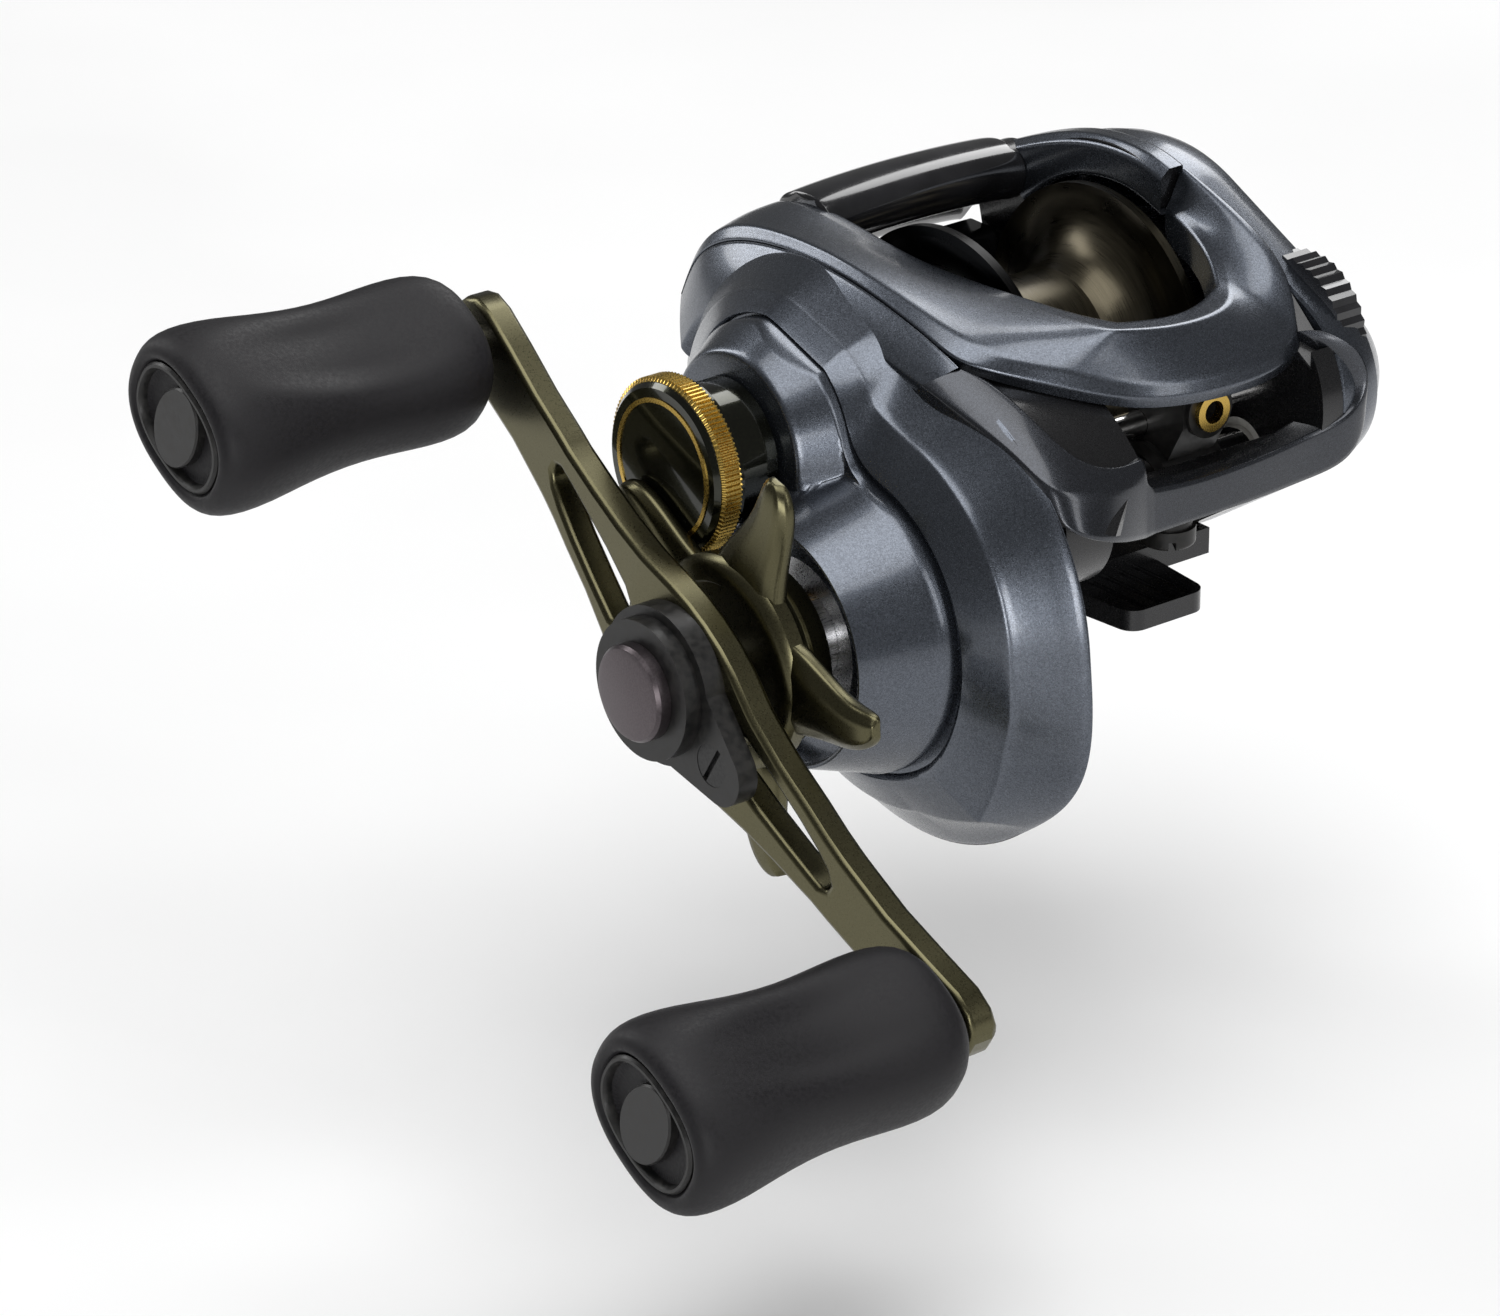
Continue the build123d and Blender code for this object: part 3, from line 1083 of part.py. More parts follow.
def make_knob(way):
    """Paddle knob: waisted grip on its post, open for bushes, with a seat for the end cap."""
    place = knob_place(way)
    end = PADDLE_X + PADDLE_LENGTH
    sections = [place.offset(PADDLE_X + at) * Ellipse(long, wide) for at, long, wide in PADDLE_STATIONS]
    sections += [place.offset(end - at) * Ellipse(long, wide) for at, long, wide in PADDLE_END_STATIONS]
    knob = loft(sections)
    bore = PADDLE_LENGTH + 2 * OVERCUT
    knob -= extrude(place.offset(PADDLE_X - OVERCUT) * Circle(PADDLE_BORE), amount=bore)
    cap = Ellipse(PADDLE_CAP_LONG, PADDLE_CAP_WIDE)
    knob -= extrude(place.offset(end - PADDLE_CAP_THICK) * cap, amount=PADDLE_LENGTH)
    return largest(knob)


def make_knob_cap(way):
    """Gloss end cap of a knob."""
    face = Ellipse(PADDLE_CAP_LONG, PADDLE_CAP_WIDE)
    end = PADDLE_X + PADDLE_LENGTH
    place = knob_place(way).offset(end - PADDLE_CAP_THICK)
    return extrude(place * face, amount=PADDLE_CAP_THICK + PADDLE_CAP_RAISE)


def make_knob_bushes(way):
    """Two bushes between a knob and its post."""
    wall = Circle(PADDLE_BORE) - Circle(POST_RADIUS + RUN_FIT)
    place = knob_place(way)
    return Compound([extrude(place.offset(x) * wall, amount=BUSH_LENGTH) for x in (BUSH_NEAR_X, BUSH_FAR_X)])


def make_knob_posts():
    """Posts riveted into the ends of the handle arm."""
    foot = HANDLE_INNER_X - HANDLE_DROP
    places = [knob_place(way).offset(foot) for way in (1, -1)]
    return Compound([extrude(place * Circle(POST_RADIUS), amount=POST_END_X - foot) for place in places])


def make_knob_screws():
    """Screw heads on the ends of the posts that keep the knobs on."""
    head = Circle(KNOB_SCREW_RADIUS)
    places = [knob_place(way).offset(POST_END_X) for way in (1, -1)]
    return Compound([extrude(place * head, amount=KNOB_SCREW_HEAD) for place in places])


def make_worm_shaft():
    """Level-wind worm: crossed thread shown as a row of grooves between plain journals."""
    first, last = -WALL_INNER + OVERCUT, WALL_INNER - OVERCUT
    pitch = (last - first) / WORM_GROOVES
    profile = [(WORM_PALM_X, 0), (WORM_PALM_X, WORM_END_RADIUS)]
    profile += [(first, WORM_END_RADIUS), (first, WORM_RADIUS)]
    for k in range(WORM_GROOVES):
        start = first + pitch * k
        profile += [
            (start + pitch / 4, WORM_RADIUS),
            (start + pitch / 2, WORM_RADIUS - WORM_GROOVE_DEPTH),
            (start + 3 * pitch / 4, WORM_RADIUS),
        ]
    end = WORM_GEAR_END
    profile += [(last, WORM_RADIUS), (last, WORM_END_RADIUS), (end, WORM_END_RADIUS), (end, 0)]
    return turned(profile, WORM_Y, WORM_Z)


def make_worm_tube():
    """Guard tube round the worm, open along its underside for the pawl."""
    tube = ring(-WALL_INNER, WALL_INNER, TUBE_RADIUS, TUBE_RADIUS - TUBE_WALL, WORM_Y, WORM_Z)
    half = TUBE_SLOT / 2
    span = WALL_INNER - OVERCUT
    return tube - block(-span, span, WORM_Y - half, WORM_Y + half, WORM_Z - TUBE_RADIUS - OVERCUT, WORM_Z)


def make_worm_bushes():
    """Bushes of the worm in the two walls."""
    bore = WORM_END_RADIUS + RUN_FIT
    spans = ((-WALL_OUTER, -WALL_INNER), (WALL_INNER, WALL_OUTER))
    return Compound([ring(a, b, WORM_BUSH_RADIUS, bore, WORM_Y, WORM_Z) for a, b in spans])


def upright_rod(radius, z0, z1):
    """Round bar along Z through the middle of the line guide, on the worm axis."""
    return Pos(GUIDE_REST_X, WORM_Y, (z0 + z1) / 2) * Cylinder(radius, z1 - z0)


def eye_rod(radius, y0, y1):
    """Round bar along Y on the axis of the line-guide eye."""
    return Pos(GUIDE_REST_X, (y0 + y1) / 2, EYE_Z) * Rot(90, 0, 0) * Cylinder(radius, y1 - y0)


def make_line_guide():
    """Carriage on worm tube and guide rod, with eye housing above and pawl boss below."""
    half = GUIDE_WIDTH / 2
    x0, x1 = GUIDE_REST_X - half, GUIDE_REST_X + half
    guide = rod(x0, x1, GUIDE_SLEEVE_RADIUS, WORM_Y, WORM_Z)
    back = GUIDE_ROD_Y - GUIDE_ROD_RADIUS - SIDE_GAP
    post = [
        (WORM_Y - TUBE_RADIUS, WORM_Z),
        (back, GUIDE_ROD_Z - GUIDE_ROD_RADIUS),
        (back, EYE_Z + EYE_BORE),
        (EYE_Y - EYE_HOUSING, EYE_Z + EYE_RADIUS),
        (EYE_Y - EYE_LENGTH / 2, EYE_Z + EYE_HOUSING / 2),
        (EYE_Y - EYE_LENGTH / 2, EYE_Z - EYE_HOUSING / 2),
        (WORM_Y + TUBE_RADIUS, WORM_Z + TUBE_RADIUS),
        (WORM_Y + TUBE_RADIUS, WORM_Z),
    ]
    wide = GUIDE_POST_WIDTH / 2
    guide += side_prism(post, GUIDE_REST_X - wide, GUIDE_REST_X + wide)
    guide += eye_rod(EYE_HOUSING, GUIDE_ROD_Y + GUIDE_ROD_RADIUS + SIDE_GAP, EYE_Y)
    guide += upright_rod(PAWL_BOSS_RADIUS, WORM_Z - PAWL_BOSS_DROP, WORM_Z)
    guide -= rod(x0 - OVERCUT, x1 + OVERCUT, TUBE_RADIUS + RUN_FIT, WORM_Y, WORM_Z)
    guide -= rod(x0 - OVERCUT, x1 + OVERCUT, GUIDE_ROD_RADIUS + RUN_FIT, GUIDE_ROD_Y, GUIDE_ROD_Z)
    guide -= eye_rod(EYE_BORE, SPOOL_RADIUS, EYE_Y + OVERCUT)
    guide -= eye_rod(EYE_RADIUS, EYE_Y - EYE_LENGTH / 2, EYE_Y + OVERCUT)
    guide -= upright_rod(PAWL_RADIUS, WORM_Z - PAWL_BOSS_DROP - OVERCUT, WORM_Z)
    return largest(guide)


def make_eye_insert():
    """Hard ring in the eye of the line guide."""
    insert = eye_rod(EYE_RADIUS, EYE_Y - EYE_LENGTH / 2, EYE_Y + EYE_LENGTH / 2)
    return insert - eye_rod(EYE_BORE, EYE_Y - EYE_LENGTH, EYE_Y + EYE_LENGTH)


def make_pawl():
    """Pawl in the boss of the line guide; its tip stops short of the worm."""
    return upright_rod(PAWL_RADIUS, WORM_Z - PAWL_BOSS_DROP, WORM_Z - WORM_RADIUS - SIDE_GAP)


def make_pawl_cap():
    """Slotted cap under the pawl."""
    top = WORM_Z - PAWL_BOSS_DROP
    cap = upright_rod(PAWL_CAP_RADIUS, top - PAWL_CAP_HEIGHT, top)
    cap = fillet(cap.edges().sort_by(Axis.Z)[0], PAWL_CAP_HEIGHT / 4)
    slot = Box(PAWL_CAP_SLOT, 2 * PAWL_CAP_RADIUS, PAWL_CAP_HEIGHT)
    return cap - Pos(GUIDE_REST_X, WORM_Y, top - PAWL_CAP_HEIGHT) * Rot(0, 0, HANDLE_ANGLE) * slot


def make_tension_knob():
    """Tension knob: barrel over the threaded neck and a wider head."""
    face, edge = KNOB_FACE_X, KNOB_FACE_X - KNOB_FACE_CHAMFER
    bore = NECK_RADIUS + RUN_FIT
    return turned(
        [
            (KNOB_BARREL_X, bore),
            (KNOB_BARREL_X, KNOB_BARREL_RADIUS),
            (KNOB_HEAD_X, KNOB_BARREL_RADIUS),
            (KNOB_HEAD_X, KNOB_RADIUS),
            (GRIP_X, KNOB_RADIUS),
            (GRIP_X, GRIP_BORE),
            (GRIP_X + GRIP_LENGTH, GRIP_BORE),
            (GRIP_X + GRIP_LENGTH, KNOB_RADIUS),
            (edge, KNOB_RADIUS),
            (face, KNOB_RADIUS - KNOB_FACE_CHAMFER),
            (face, INLAY_RADIUS),
            (face - INLAY_DEPTH, INLAY_RADIUS),
            (face - INLAY_DEPTH, INLAY_RADIUS - INLAY_WIDTH),
            (face, INLAY_RADIUS - INLAY_WIDTH),
            (face, 0),
            (KNOB_HEAD_X, 0),
            (KNOB_HEAD_X, bore),
        ]
    )


def make_grip_ring():
    """Knurled ring round the head of the tension knob."""
    end = GRIP_X + GRIP_LENGTH
    return notched(GRIP_X, end, GRIP_RADIUS, GRIP_DEPTH, GRIP_RIDGES) - rod(GRIP_X, end, GRIP_BORE)


PARTS = {
    "frame": make_frame(),
    "top_hood": make_hood(),
    "handle_side_cover": make_case_cover(),
    "cover_screws": make_cover_screws(),
    "palm_side_cover": make_palm_cover(),
    "palm_lock_screw": make_lock_screw(),
    "brake_dial": make_brake_dial(),
    "brake_drum": make_brake_drum(),
    "brake_hub": make_brake_hub(),
    "brake_shoes": make_brake_shoes(),
    "spool": make_spool(),
    "spool_shaft": make_spool_shaft(),
    "spool_pin": Pos(PIN_X, 0, SPOOL_Z) * Cylinder(PIN_RADIUS, 2 * PIN_REACH),
    "pinion": make_pinion(),
    "clutch_yoke": make_yoke(),
    "thumb_bar": make_thumb_bar(),
    "clutch_plate": make_clutch_plate(),
    "drive_shaft": make_drive_shaft(),
    "drive_gear": make_drive_gear(),
    "drag_springs": make_drag_springs(),
    "star_drag": make_star(),
    "star_nut": make_star_nut(),
    "handle_arm": make_handle_arm(),
    "handle_nut": make_handle_nut(),
    "nut_retainer": make_retainer(),
    "retainer_screw": make_retainer_screw(),
    "knob_posts": make_knob_posts(),
    "knob_screws": make_knob_screws(),
    "worm_shaft": make_worm_shaft(),
    "worm_tube": make_worm_tube(),
    "worm_bushes": make_worm_bushes(),
    "line_guide": make_line_guide(),
    "guide_eye": make_eye_insert(),
    "pawl": make_pawl(),
    "pawl_cap": make_pawl_cap(),
    "tension_knob": make_tension_knob(),
    "tension_grip": make_grip_ring(),
}

for side, way in (("lower", 1), ("upper", -1)):
    PARTS[f"{side}_knob"] = make_knob(way)
    PARTS[f"{side}_knob_cap"] = make_knob_cap(way)
    PARTS[f"{side}_knob_bushes"] = make_knob_bushes(way)

PARTS["wind_drive_gear"], PARTS["worm_gear"] = make_wind_gears()

# Plain bearings, washers, posts and rods
seat = (WALL_THICK - SPOOL_BEARING_LENGTH) / 2
bearing_end = WALL_OUTER - seat
PARTS["spool_bearing_handle"] = ring(
    WALL_INNER + seat, bearing_end, SPOOL_BEARING_RADIUS, SHAFT_RADIUS + RUN_FIT
)
PARTS["spool_bearing_palm"] = ring(
    PALM_HUB_X - SPOOL_BEARING_LENGTH, PALM_HUB_X, PALM_BEARING_RADIUS, SHAFT_RADIUS + RUN_FIT
)
PARTS["drive_shaft_bearing"] = ring(
    WALL_INNER + seat, bearing_end, DRIVE_BEARING_RADIUS, DRIVE_JOURNAL_RADIUS + RUN_FIT, DRIVE_Y, DRIVE_Z
)
PARTS["pinion_bearing"] = ring(
    PINION_BEARING_X, PINION_BEARING_X + PINION_BEARING_LENGTH, NECK_BORE, PINION_NECK_RADIUS + RUN_FIT
)
for name, order, radius in (("key_washer", 1, KEY_RADIUS), ("pressure_plate", 3, DRAG_RADIUS)):
    start = DRAG_X + order * DRAG_DISC
    PARTS[name] = ring(start, start + DRAG_DISC, radius, DRIVE_SHAFT_RADIUS, DRIVE_Y, DRIVE_Z)
PARTS["drag_washers"] = Compound(
    [
        ring(start, start + DRAG_DISC, DRAG_RADIUS, SLEEVE_RADIUS, DRIVE_Y, DRIVE_Z)
        for start in (DRAG_X, DRAG_X + 2 * DRAG_DISC)
    ]
)
PARTS["anti_reverse_sleeve"] = ring(
    SLEEVE_X, SLEEVE_END_X, SLEEVE_RADIUS, DRIVE_SHAFT_RADIUS, DRIVE_Y, DRIVE_Z
)
PARTS["anti_reverse_bearing"] = ring(
    ROLLER_X, ROLLER_X + ROLLER_LENGTH, ROLLER_RADIUS, SLEEVE_RADIUS + RUN_FIT, DRIVE_Y, DRIVE_Z
)
PARTS["yoke_posts"] = Compound(
    [rod(WALL_INNER, YOKE_POST_END, YOKE_POST_RADIUS, y, z) for y, z in yoke_places()]
)
PARTS["yoke_springs"] = Compound(
    [
        ring(YOKE_SPRING_X, YOKE_POST_END, YOKE_SPRING_RADIUS, YOKE_POST_RADIUS, y, z)
        for y, z in yoke_places()
    ]
)
PARTS["guide_rod"] = rod(-WALL_OUTER, WALL_OUTER, GUIDE_ROD_RADIUS, GUIDE_ROD_Y, GUIDE_ROD_Z)
PARTS["tension_inlay"] = ring(
    KNOB_FACE_X - INLAY_DEPTH, KNOB_FACE_X + INLAY_RAISE, INLAY_RADIUS, INLAY_RADIUS - INLAY_WIDTH
)
PARTS["tension_pad"] = rod(PAD_X, KNOB_HEAD_X, PAD_RADIUS)

os.makedirs("parts", exist_ok=True)
for name, shape in PARTS.items():
    export_step(shape, f"parts/{name}.step")
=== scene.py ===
"""Looks of the bait-casting reel: skins, finishes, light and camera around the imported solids."""

import json
import math

import bmesh
import bpy
import numpy as np
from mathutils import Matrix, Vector


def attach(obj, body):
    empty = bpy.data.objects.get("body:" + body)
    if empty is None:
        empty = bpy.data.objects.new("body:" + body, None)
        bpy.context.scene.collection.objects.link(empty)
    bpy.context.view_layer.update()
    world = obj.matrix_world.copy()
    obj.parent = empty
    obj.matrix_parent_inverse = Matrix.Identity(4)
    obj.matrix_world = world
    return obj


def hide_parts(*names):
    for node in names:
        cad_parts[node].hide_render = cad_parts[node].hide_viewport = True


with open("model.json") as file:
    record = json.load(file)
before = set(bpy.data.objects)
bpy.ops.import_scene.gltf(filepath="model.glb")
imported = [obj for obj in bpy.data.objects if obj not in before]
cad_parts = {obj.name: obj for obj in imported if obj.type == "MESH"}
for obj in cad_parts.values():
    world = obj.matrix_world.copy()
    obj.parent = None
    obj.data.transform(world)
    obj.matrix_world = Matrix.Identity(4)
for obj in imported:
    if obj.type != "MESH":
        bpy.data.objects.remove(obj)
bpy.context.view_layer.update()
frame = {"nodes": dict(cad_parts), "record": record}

MM = 0.001
FULL_TURN = 2.0 * math.pi

# Axes (y, z) and outlines (y, z, radius) that the skins share with the solids, in millimetres
DRIVE = (13.41, 5.73)
SPOOL = (0.0, 22.0)
CASE_BACK = (-5.5, 17.3, 20.5)
CASE_FRONT = (13.41, 5.73, 26.4)
PALM_BACK = (0.0, 21.5, 21.8)
PALM_FRONT = (22.5, 23.0, 10.8)
ARM_ANGLE = math.radians(-31.6)
ARM_LENGTH = 45.0

# Search for an outline along a ray: farthest distance looked at, and number of halvings
REACH, HALVINGS = 80.0, 40


# Numbers and points

def smoothstep(low, high, value):
    """Soft step from 0 to 1 between low and high."""
    t = np.clip((value - low) / (high - low), 0.0, 1.0)
    return t * t * (3.0 - 2.0 * t)


def soft_max(a, b, width):
    """Larger of two heights, blended over width."""
    t = np.clip(0.5 + 0.5 * (a - b) / width, 0.0, 1.0)
    return b + (a - b) * t + width * t * (1.0 - t)


def around(count):
    """Angles of equal steps round a full turn."""
    return np.linspace(0.0, FULL_TURN, count, endpoint=False)


def polar(angle, radius, centre=DRIVE):
    """Points (y, z) round a centre."""
    return centre[0] + radius * np.cos(angle), centre[1] + radius * np.sin(angle)


def ring(x, angle, radius, centre=DRIVE):
    """Points (x, y, z) round an axis along X; height and radius may change with the angle."""
    y, z = polar(angle, radius, centre)
    return np.stack([np.broadcast_to(x, y.shape), y, z], axis=1)


def shift(point, step):
    """Point moved by a step."""
    return tuple(a + b for a, b in zip(point, step))


def between(first, second):
    """Point halfway between two points."""
    return tuple((a + b) / 2 for a, b in zip(first, second))


def hull_distance(y, z, first, second):
    """Distance outside the hull of two circles (y, z, radius); negative inside."""
    (ya, za, ra), (yb, zb, rb) = first, second
    span = math.hypot(yb - ya, zb - za)
    uy, uz = (yb - ya) / span, (zb - za) / span
    along = (y - ya) * uy + (z - za) * uz
    across = np.abs((z - za) * uy - (y - ya) * uz)
    lean = (ra - rb) / span
    side = math.sqrt(1.0 - lean * lean)
    place = side * along - lean * across
    near = np.hypot(across, along) - ra
    far = np.hypot(across, along - span) - rb
    flank = side * across + lean * along - ra
    return np.where(place < 0, near, np.where(place > side * span, far, flank))


def cross(angle, distance, centre=DRIVE):
    """How far from a centre a distance field turns positive, along each angle."""
    low = np.zeros_like(angle)
    high = np.full_like(angle, REACH)
    for _ in range(HALVINGS):
        middle = (low + high) / 2
        outside = distance(*polar(angle, middle, centre)) > 0
        high = np.where(outside, middle, high)
        low = np.where(outside, low, middle)
    return (low + high) / 2


# Meshes

def grid_faces(rows, columns, close_rows=False, close_columns=False):
    """Quads of a grid of points stored row by row."""
    faces = []
    for i in range(rows if close_rows else rows - 1):
        for j in range(columns if close_columns else columns - 1):
            k, m = (i + 1) % rows, (j + 1) % columns
            faces.append((i * columns + j, i * columns + m, k * columns + m, k * columns + j))
    return faces


def tube_faces(rows, columns):
    """Quads of a tube of closed rings, and one face across each end."""
    faces = grid_faces(rows, columns, close_columns=True)
    faces.append(tuple(range(columns))[::-1])
    faces.append(tuple(range((rows - 1) * columns, rows * columns)))
    return faces


def add_mesh(name, points, faces, material, body, nodes=(), sharp=32.0):
    """New piece from points in millimetres; it rides on a body and may stand for nodes."""
    mesh = bpy.data.meshes.new(name)
    mesh.from_pydata((np.asarray(points, dtype=float) * MM).tolist(), [], faces)
    mesh.validate()
    mesh.polygons.foreach_set("use_smooth", [True] * len(mesh.polygons))
    if sharp < 180.0:
        mesh.set_sharp_from_angle(angle=math.radians(sharp))
    piece = bpy.data.objects.new(name, mesh)
    bpy.context.scene.collection.objects.link(piece)
    mesh.materials.append(material)
    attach(piece, body)
    if nodes:
        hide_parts(*nodes)
    return piece


def face_out(piece):
    """Turns all faces of a piece outwards."""
    work = bmesh.new()
    work.from_mesh(piece.data)
    bmesh.ops.recalc_face_normals(work, faces=work.faces)
    work.to_mesh(piece.data)
    work.free()
    return piece


def round_off(piece, levels):
    """Subdivides a piece into a smooth skin."""
    rounding = piece.modifiers.new("rounding", "SUBSURF")
    rounding.levels = rounding.render_levels = levels
    return piece


def soften(piece, width, segments, angle):
    """Rounds the edges of a piece that are sharper than an angle, by a width in millimetres."""
    edge = piece.modifiers.new("edge", "BEVEL")
    edge.width = width * MM
    edge.segments = segments
    edge.limit_method = "ANGLE"
    edge.angle_limit = math.radians(angle)
    return piece


def add_net(name, rows, material, body, creases, row_creases, nodes=(), levels=3, tube=False):
    """Smooth skin over rows of control points; the creases give columns and rows a sharpness."""
    count = len(rows[0])
    points = [p for row in rows for p in row]
    faces = tube_faces(len(rows), count) if tube else grid_faces(len(rows), count)
    piece = add_mesh(name, points, faces, material, body, nodes, sharp=180.0)
    sharpness = piece.data.attributes.new("crease_edge", "FLOAT", "EDGE")
    for edge in piece.data.edges:
        a, b = edge.vertices
        if a % count == b % count:
            sharpness.data[edge.index].value = creases.get(a % count, 0.0)
        elif a // count == b // count:
            sharpness.data[edge.index].value = row_creases.get(a // count, 0.0)
    return round_off(piece, levels)


def add_turned(name, profile, material, body, nodes, segments):
    """Piece turned about the drive axis from a closed profile of (x, radius)."""
    points = [(x, DRIVE[0] + r * math.cos(a), DRIVE[1] + r * math.sin(a))
              for a in around(segments) for x, r in profile]
    faces = grid_faces(segments, len(profile), close_rows=True, close_columns=True)
    return face_out(add_mesh(name, points, faces, material, body, nodes))


# Finishes

# Detail of every noise, and roughness of a plain clear coat
NOISE_DETAIL = 3.0
COAT_ROUGHNESS = 0.05

# Flakes of the metallic paints: cells per metre, roughness of the coat, and relief (strength, metres)
FLAKE_CELLS = 9000.0
FLAKE_COAT_ROUGHNESS = 0.12
FLAKE_RELIEF = (0.12, 0.00004)


def new_finish(name, slot):
    """Empty node material with its principled shader; slot is the record's finish."""
    finish = bpy.data.materials.new(name)
    finish.use_nodes = True
    finish["slot"] = slot
    tree = finish.node_tree
    tree.nodes.clear()
    out = tree.nodes.new("ShaderNodeOutputMaterial")
    shader = tree.nodes.new("ShaderNodeBsdfPrincipled")
    tree.links.new(shader.outputs["BSDF"], out.inputs["Surface"])
    return finish, tree, shader


def noise(tree, scale, stretch):
    """Noise in the piece's own coordinates, in cells per metre."""
    place = tree.nodes.new("ShaderNodeTexCoord")
    mapping = tree.nodes.new("ShaderNodeMapping")
    mapping.inputs["Scale"].default_value = stretch
    texture = tree.nodes.new("ShaderNodeTexNoise")
    texture.inputs["Scale"].default_value = scale
    texture.inputs["Detail"].default_value = NOISE_DETAIL
    tree.links.new(place.outputs["Object"], mapping.inputs["Vector"])
    tree.links.new(mapping.outputs["Vector"], texture.inputs["Vector"])
    return texture.outputs["Fac"]


def spread(tree, value, low, high, start=0.35, end=0.65):
    """Value from start to end, the middle of a noise by default, stretched to low to high."""
    node = tree.nodes.new("ShaderNodeMapRange")
    node.inputs["From Min"].default_value = start
    node.inputs["From Max"].default_value = end
    node.inputs["To Min"].default_value = low
    node.inputs["To Max"].default_value = high
    tree.links.new(value, node.inputs["Value"])
    return node.outputs["Result"]


def two_colours(tree, value, first, second):
    """Colour between two, by a value from 0 to 1."""
    node = tree.nodes.new("ShaderNodeMix")
    node.data_type = "RGBA"
    node.inputs["A"].default_value = (*first, 1.0)
    node.inputs["B"].default_value = (*second, 1.0)
    tree.links.new(value, node.inputs["Factor"])
    return node.outputs["Result"]


def bump(tree, shader, value, strength, depth):
    """Relief from a value; depth is in metres."""
    node = tree.nodes.new("ShaderNodeBump")
    node.inputs["Strength"].default_value = strength
    node.inputs["Distance"].default_value = depth
    tree.links.new(value, node.inputs["Height"])
    tree.links.new(node.outputs["Normal"], shader.inputs["Normal"])


def surface(name, slot, first, second, metallic, rough, grain, relief=0.0, coat=0.0,
            stretch=(1.0, 1.0, 1.0), shine=0.5):
    """Finish whose colour, roughness and relief vary with one noise."""
    finish, tree, shader = new_finish(name, slot)
    value = noise(tree, grain, stretch)
    tone = two_colours(tree, spread(tree, value, 0.0, 1.0), first, second)
    tree.links.new(tone, shader.inputs["Base Color"])
    tree.links.new(spread(tree, value, *rough), shader.inputs["Roughness"])
    shader.inputs["Metallic"].default_value = metallic
    shader.inputs["Specular IOR Level"].default_value = shine
    shader.inputs["Coat Weight"].default_value = coat
    shader.inputs["Coat Roughness"].default_value = COAT_ROUGHNESS
    if relief:
        bump(tree, shader, value, 1.0, relief)
    return finish


def flake_paint(name, slot, dark, light, metallic, rough, coat):
    """Metallic paint: fine flakes of changing tone, roughness and height under a clear coat."""
    finish, tree, shader = new_finish(name, slot)
    place = tree.nodes.new("ShaderNodeTexCoord")
    cells = tree.nodes.new("ShaderNodeTexVoronoi")
    cells.inputs["Scale"].default_value = FLAKE_CELLS
    tree.links.new(place.outputs["Object"], cells.inputs["Vector"])
    parts = tree.nodes.new("ShaderNodeSeparateColor")
    tree.links.new(cells.outputs["Color"], parts.inputs["Color"])
    tone = two_colours(tree, parts.outputs["Red"], dark, light)
    tree.links.new(tone, shader.inputs["Base Color"])
    roughness = spread(tree, parts.outputs["Green"], *rough, 0.0, 1.0)
    tree.links.new(roughness, shader.inputs["Roughness"])
    shader.inputs["Metallic"].default_value = metallic
    shader.inputs["Coat Weight"].default_value = coat
    shader.inputs["Coat Roughness"].default_value = FLAKE_COAT_ROUGHNESS
    bump(tree, shader, parts.outputs["Blue"], *FLAKE_RELIEF)
    return finish


def darken(finish, axis, start, end, colour):
    """Second colour of a finish, coming in from start to end along an axis, in millimetres."""
    tree = finish.node_tree
    shader = next(node for node in tree.nodes if node.type == "BSDF_PRINCIPLED")
    first = shader.inputs["Base Color"].links[0].from_socket
    place = tree.nodes.new("ShaderNodeTexCoord")
    parts = tree.nodes.new("ShaderNodeSeparateXYZ")
    tree.links.new(place.outputs["Object"], parts.inputs["Vector"])
    blend = tree.nodes.new("ShaderNodeMix")
    blend.data_type = "RGBA"
    blend.inputs["B"].default_value = (*colour, 1.0)
    share = spread(tree, parts.outputs[axis], 0.0, 1.0, start * MM, end * MM)
    tree.links.new(share, blend.inputs["Factor"])
    tree.links.new(first, blend.inputs["A"])
    tree.links.new(blend.outputs["Result"], shader.inputs["Base Color"])


PAINT = flake_paint("slate_flake_paint", "body_paint", (0.062, 0.070, 0.086), (0.112, 0.125, 0.150),
                    metallic=0.9, rough=(0.24, 0.34), coat=0.45)
FRAME_PAINT = flake_paint("dark_frame_paint", "frame_paint", (0.026, 0.028, 0.034), (0.042, 0.046, 0.055),
                          metallic=0.75, rough=(0.22, 0.34), coat=0.45)
BRONZE = surface("satin_bronze", "spool_bronze", (0.056, 0.049, 0.034), (0.072, 0.063, 0.044),
                 metallic=1.0, rough=(0.27, 0.33), grain=1200.0, stretch=(6.0, 0.2, 0.2))
# Spool beyond x 8 mm, the near flange, turned nearly black: partly a dark flange, partly painted shade where
# it lies unlit inside the frame
darken(BRONZE, "X", 7.8, 8.2, (0.006, 0.006, 0.006))
OLIVE = surface("olive_anodised", "olive_anodised", (0.098, 0.090, 0.050), (0.116, 0.107, 0.061),
                metallic=1.0, rough=(0.27, 0.33), grain=6000.0)
DARK_OLIVE = surface("dark_olive", "knob_olive", (0.018, 0.0185, 0.012), (0.022, 0.023, 0.014),
                     metallic=0.9, rough=(0.14, 0.18), grain=3000.0, coat=0.6)
GOLD = surface("gold_anodised", "gold", (0.54, 0.36, 0.085), (0.62, 0.42, 0.11),
               metallic=1.0, rough=(0.24, 0.30), grain=5000.0)
RUBBER = surface("charcoal_rubber", "knob_rubber", (0.0068, 0.0061, 0.0074), (0.0112, 0.0102, 0.012),
                 metallic=0.0, rough=(0.5, 0.62), grain=2600.0, relief=0.000010, shine=0.3)
GLOSS = surface("gloss_black", "gloss_black", (0.008, 0.008, 0.009), (0.016, 0.016, 0.018),
                metallic=0.0, rough=(0.12, 0.2), grain=160.0, coat=0.4)
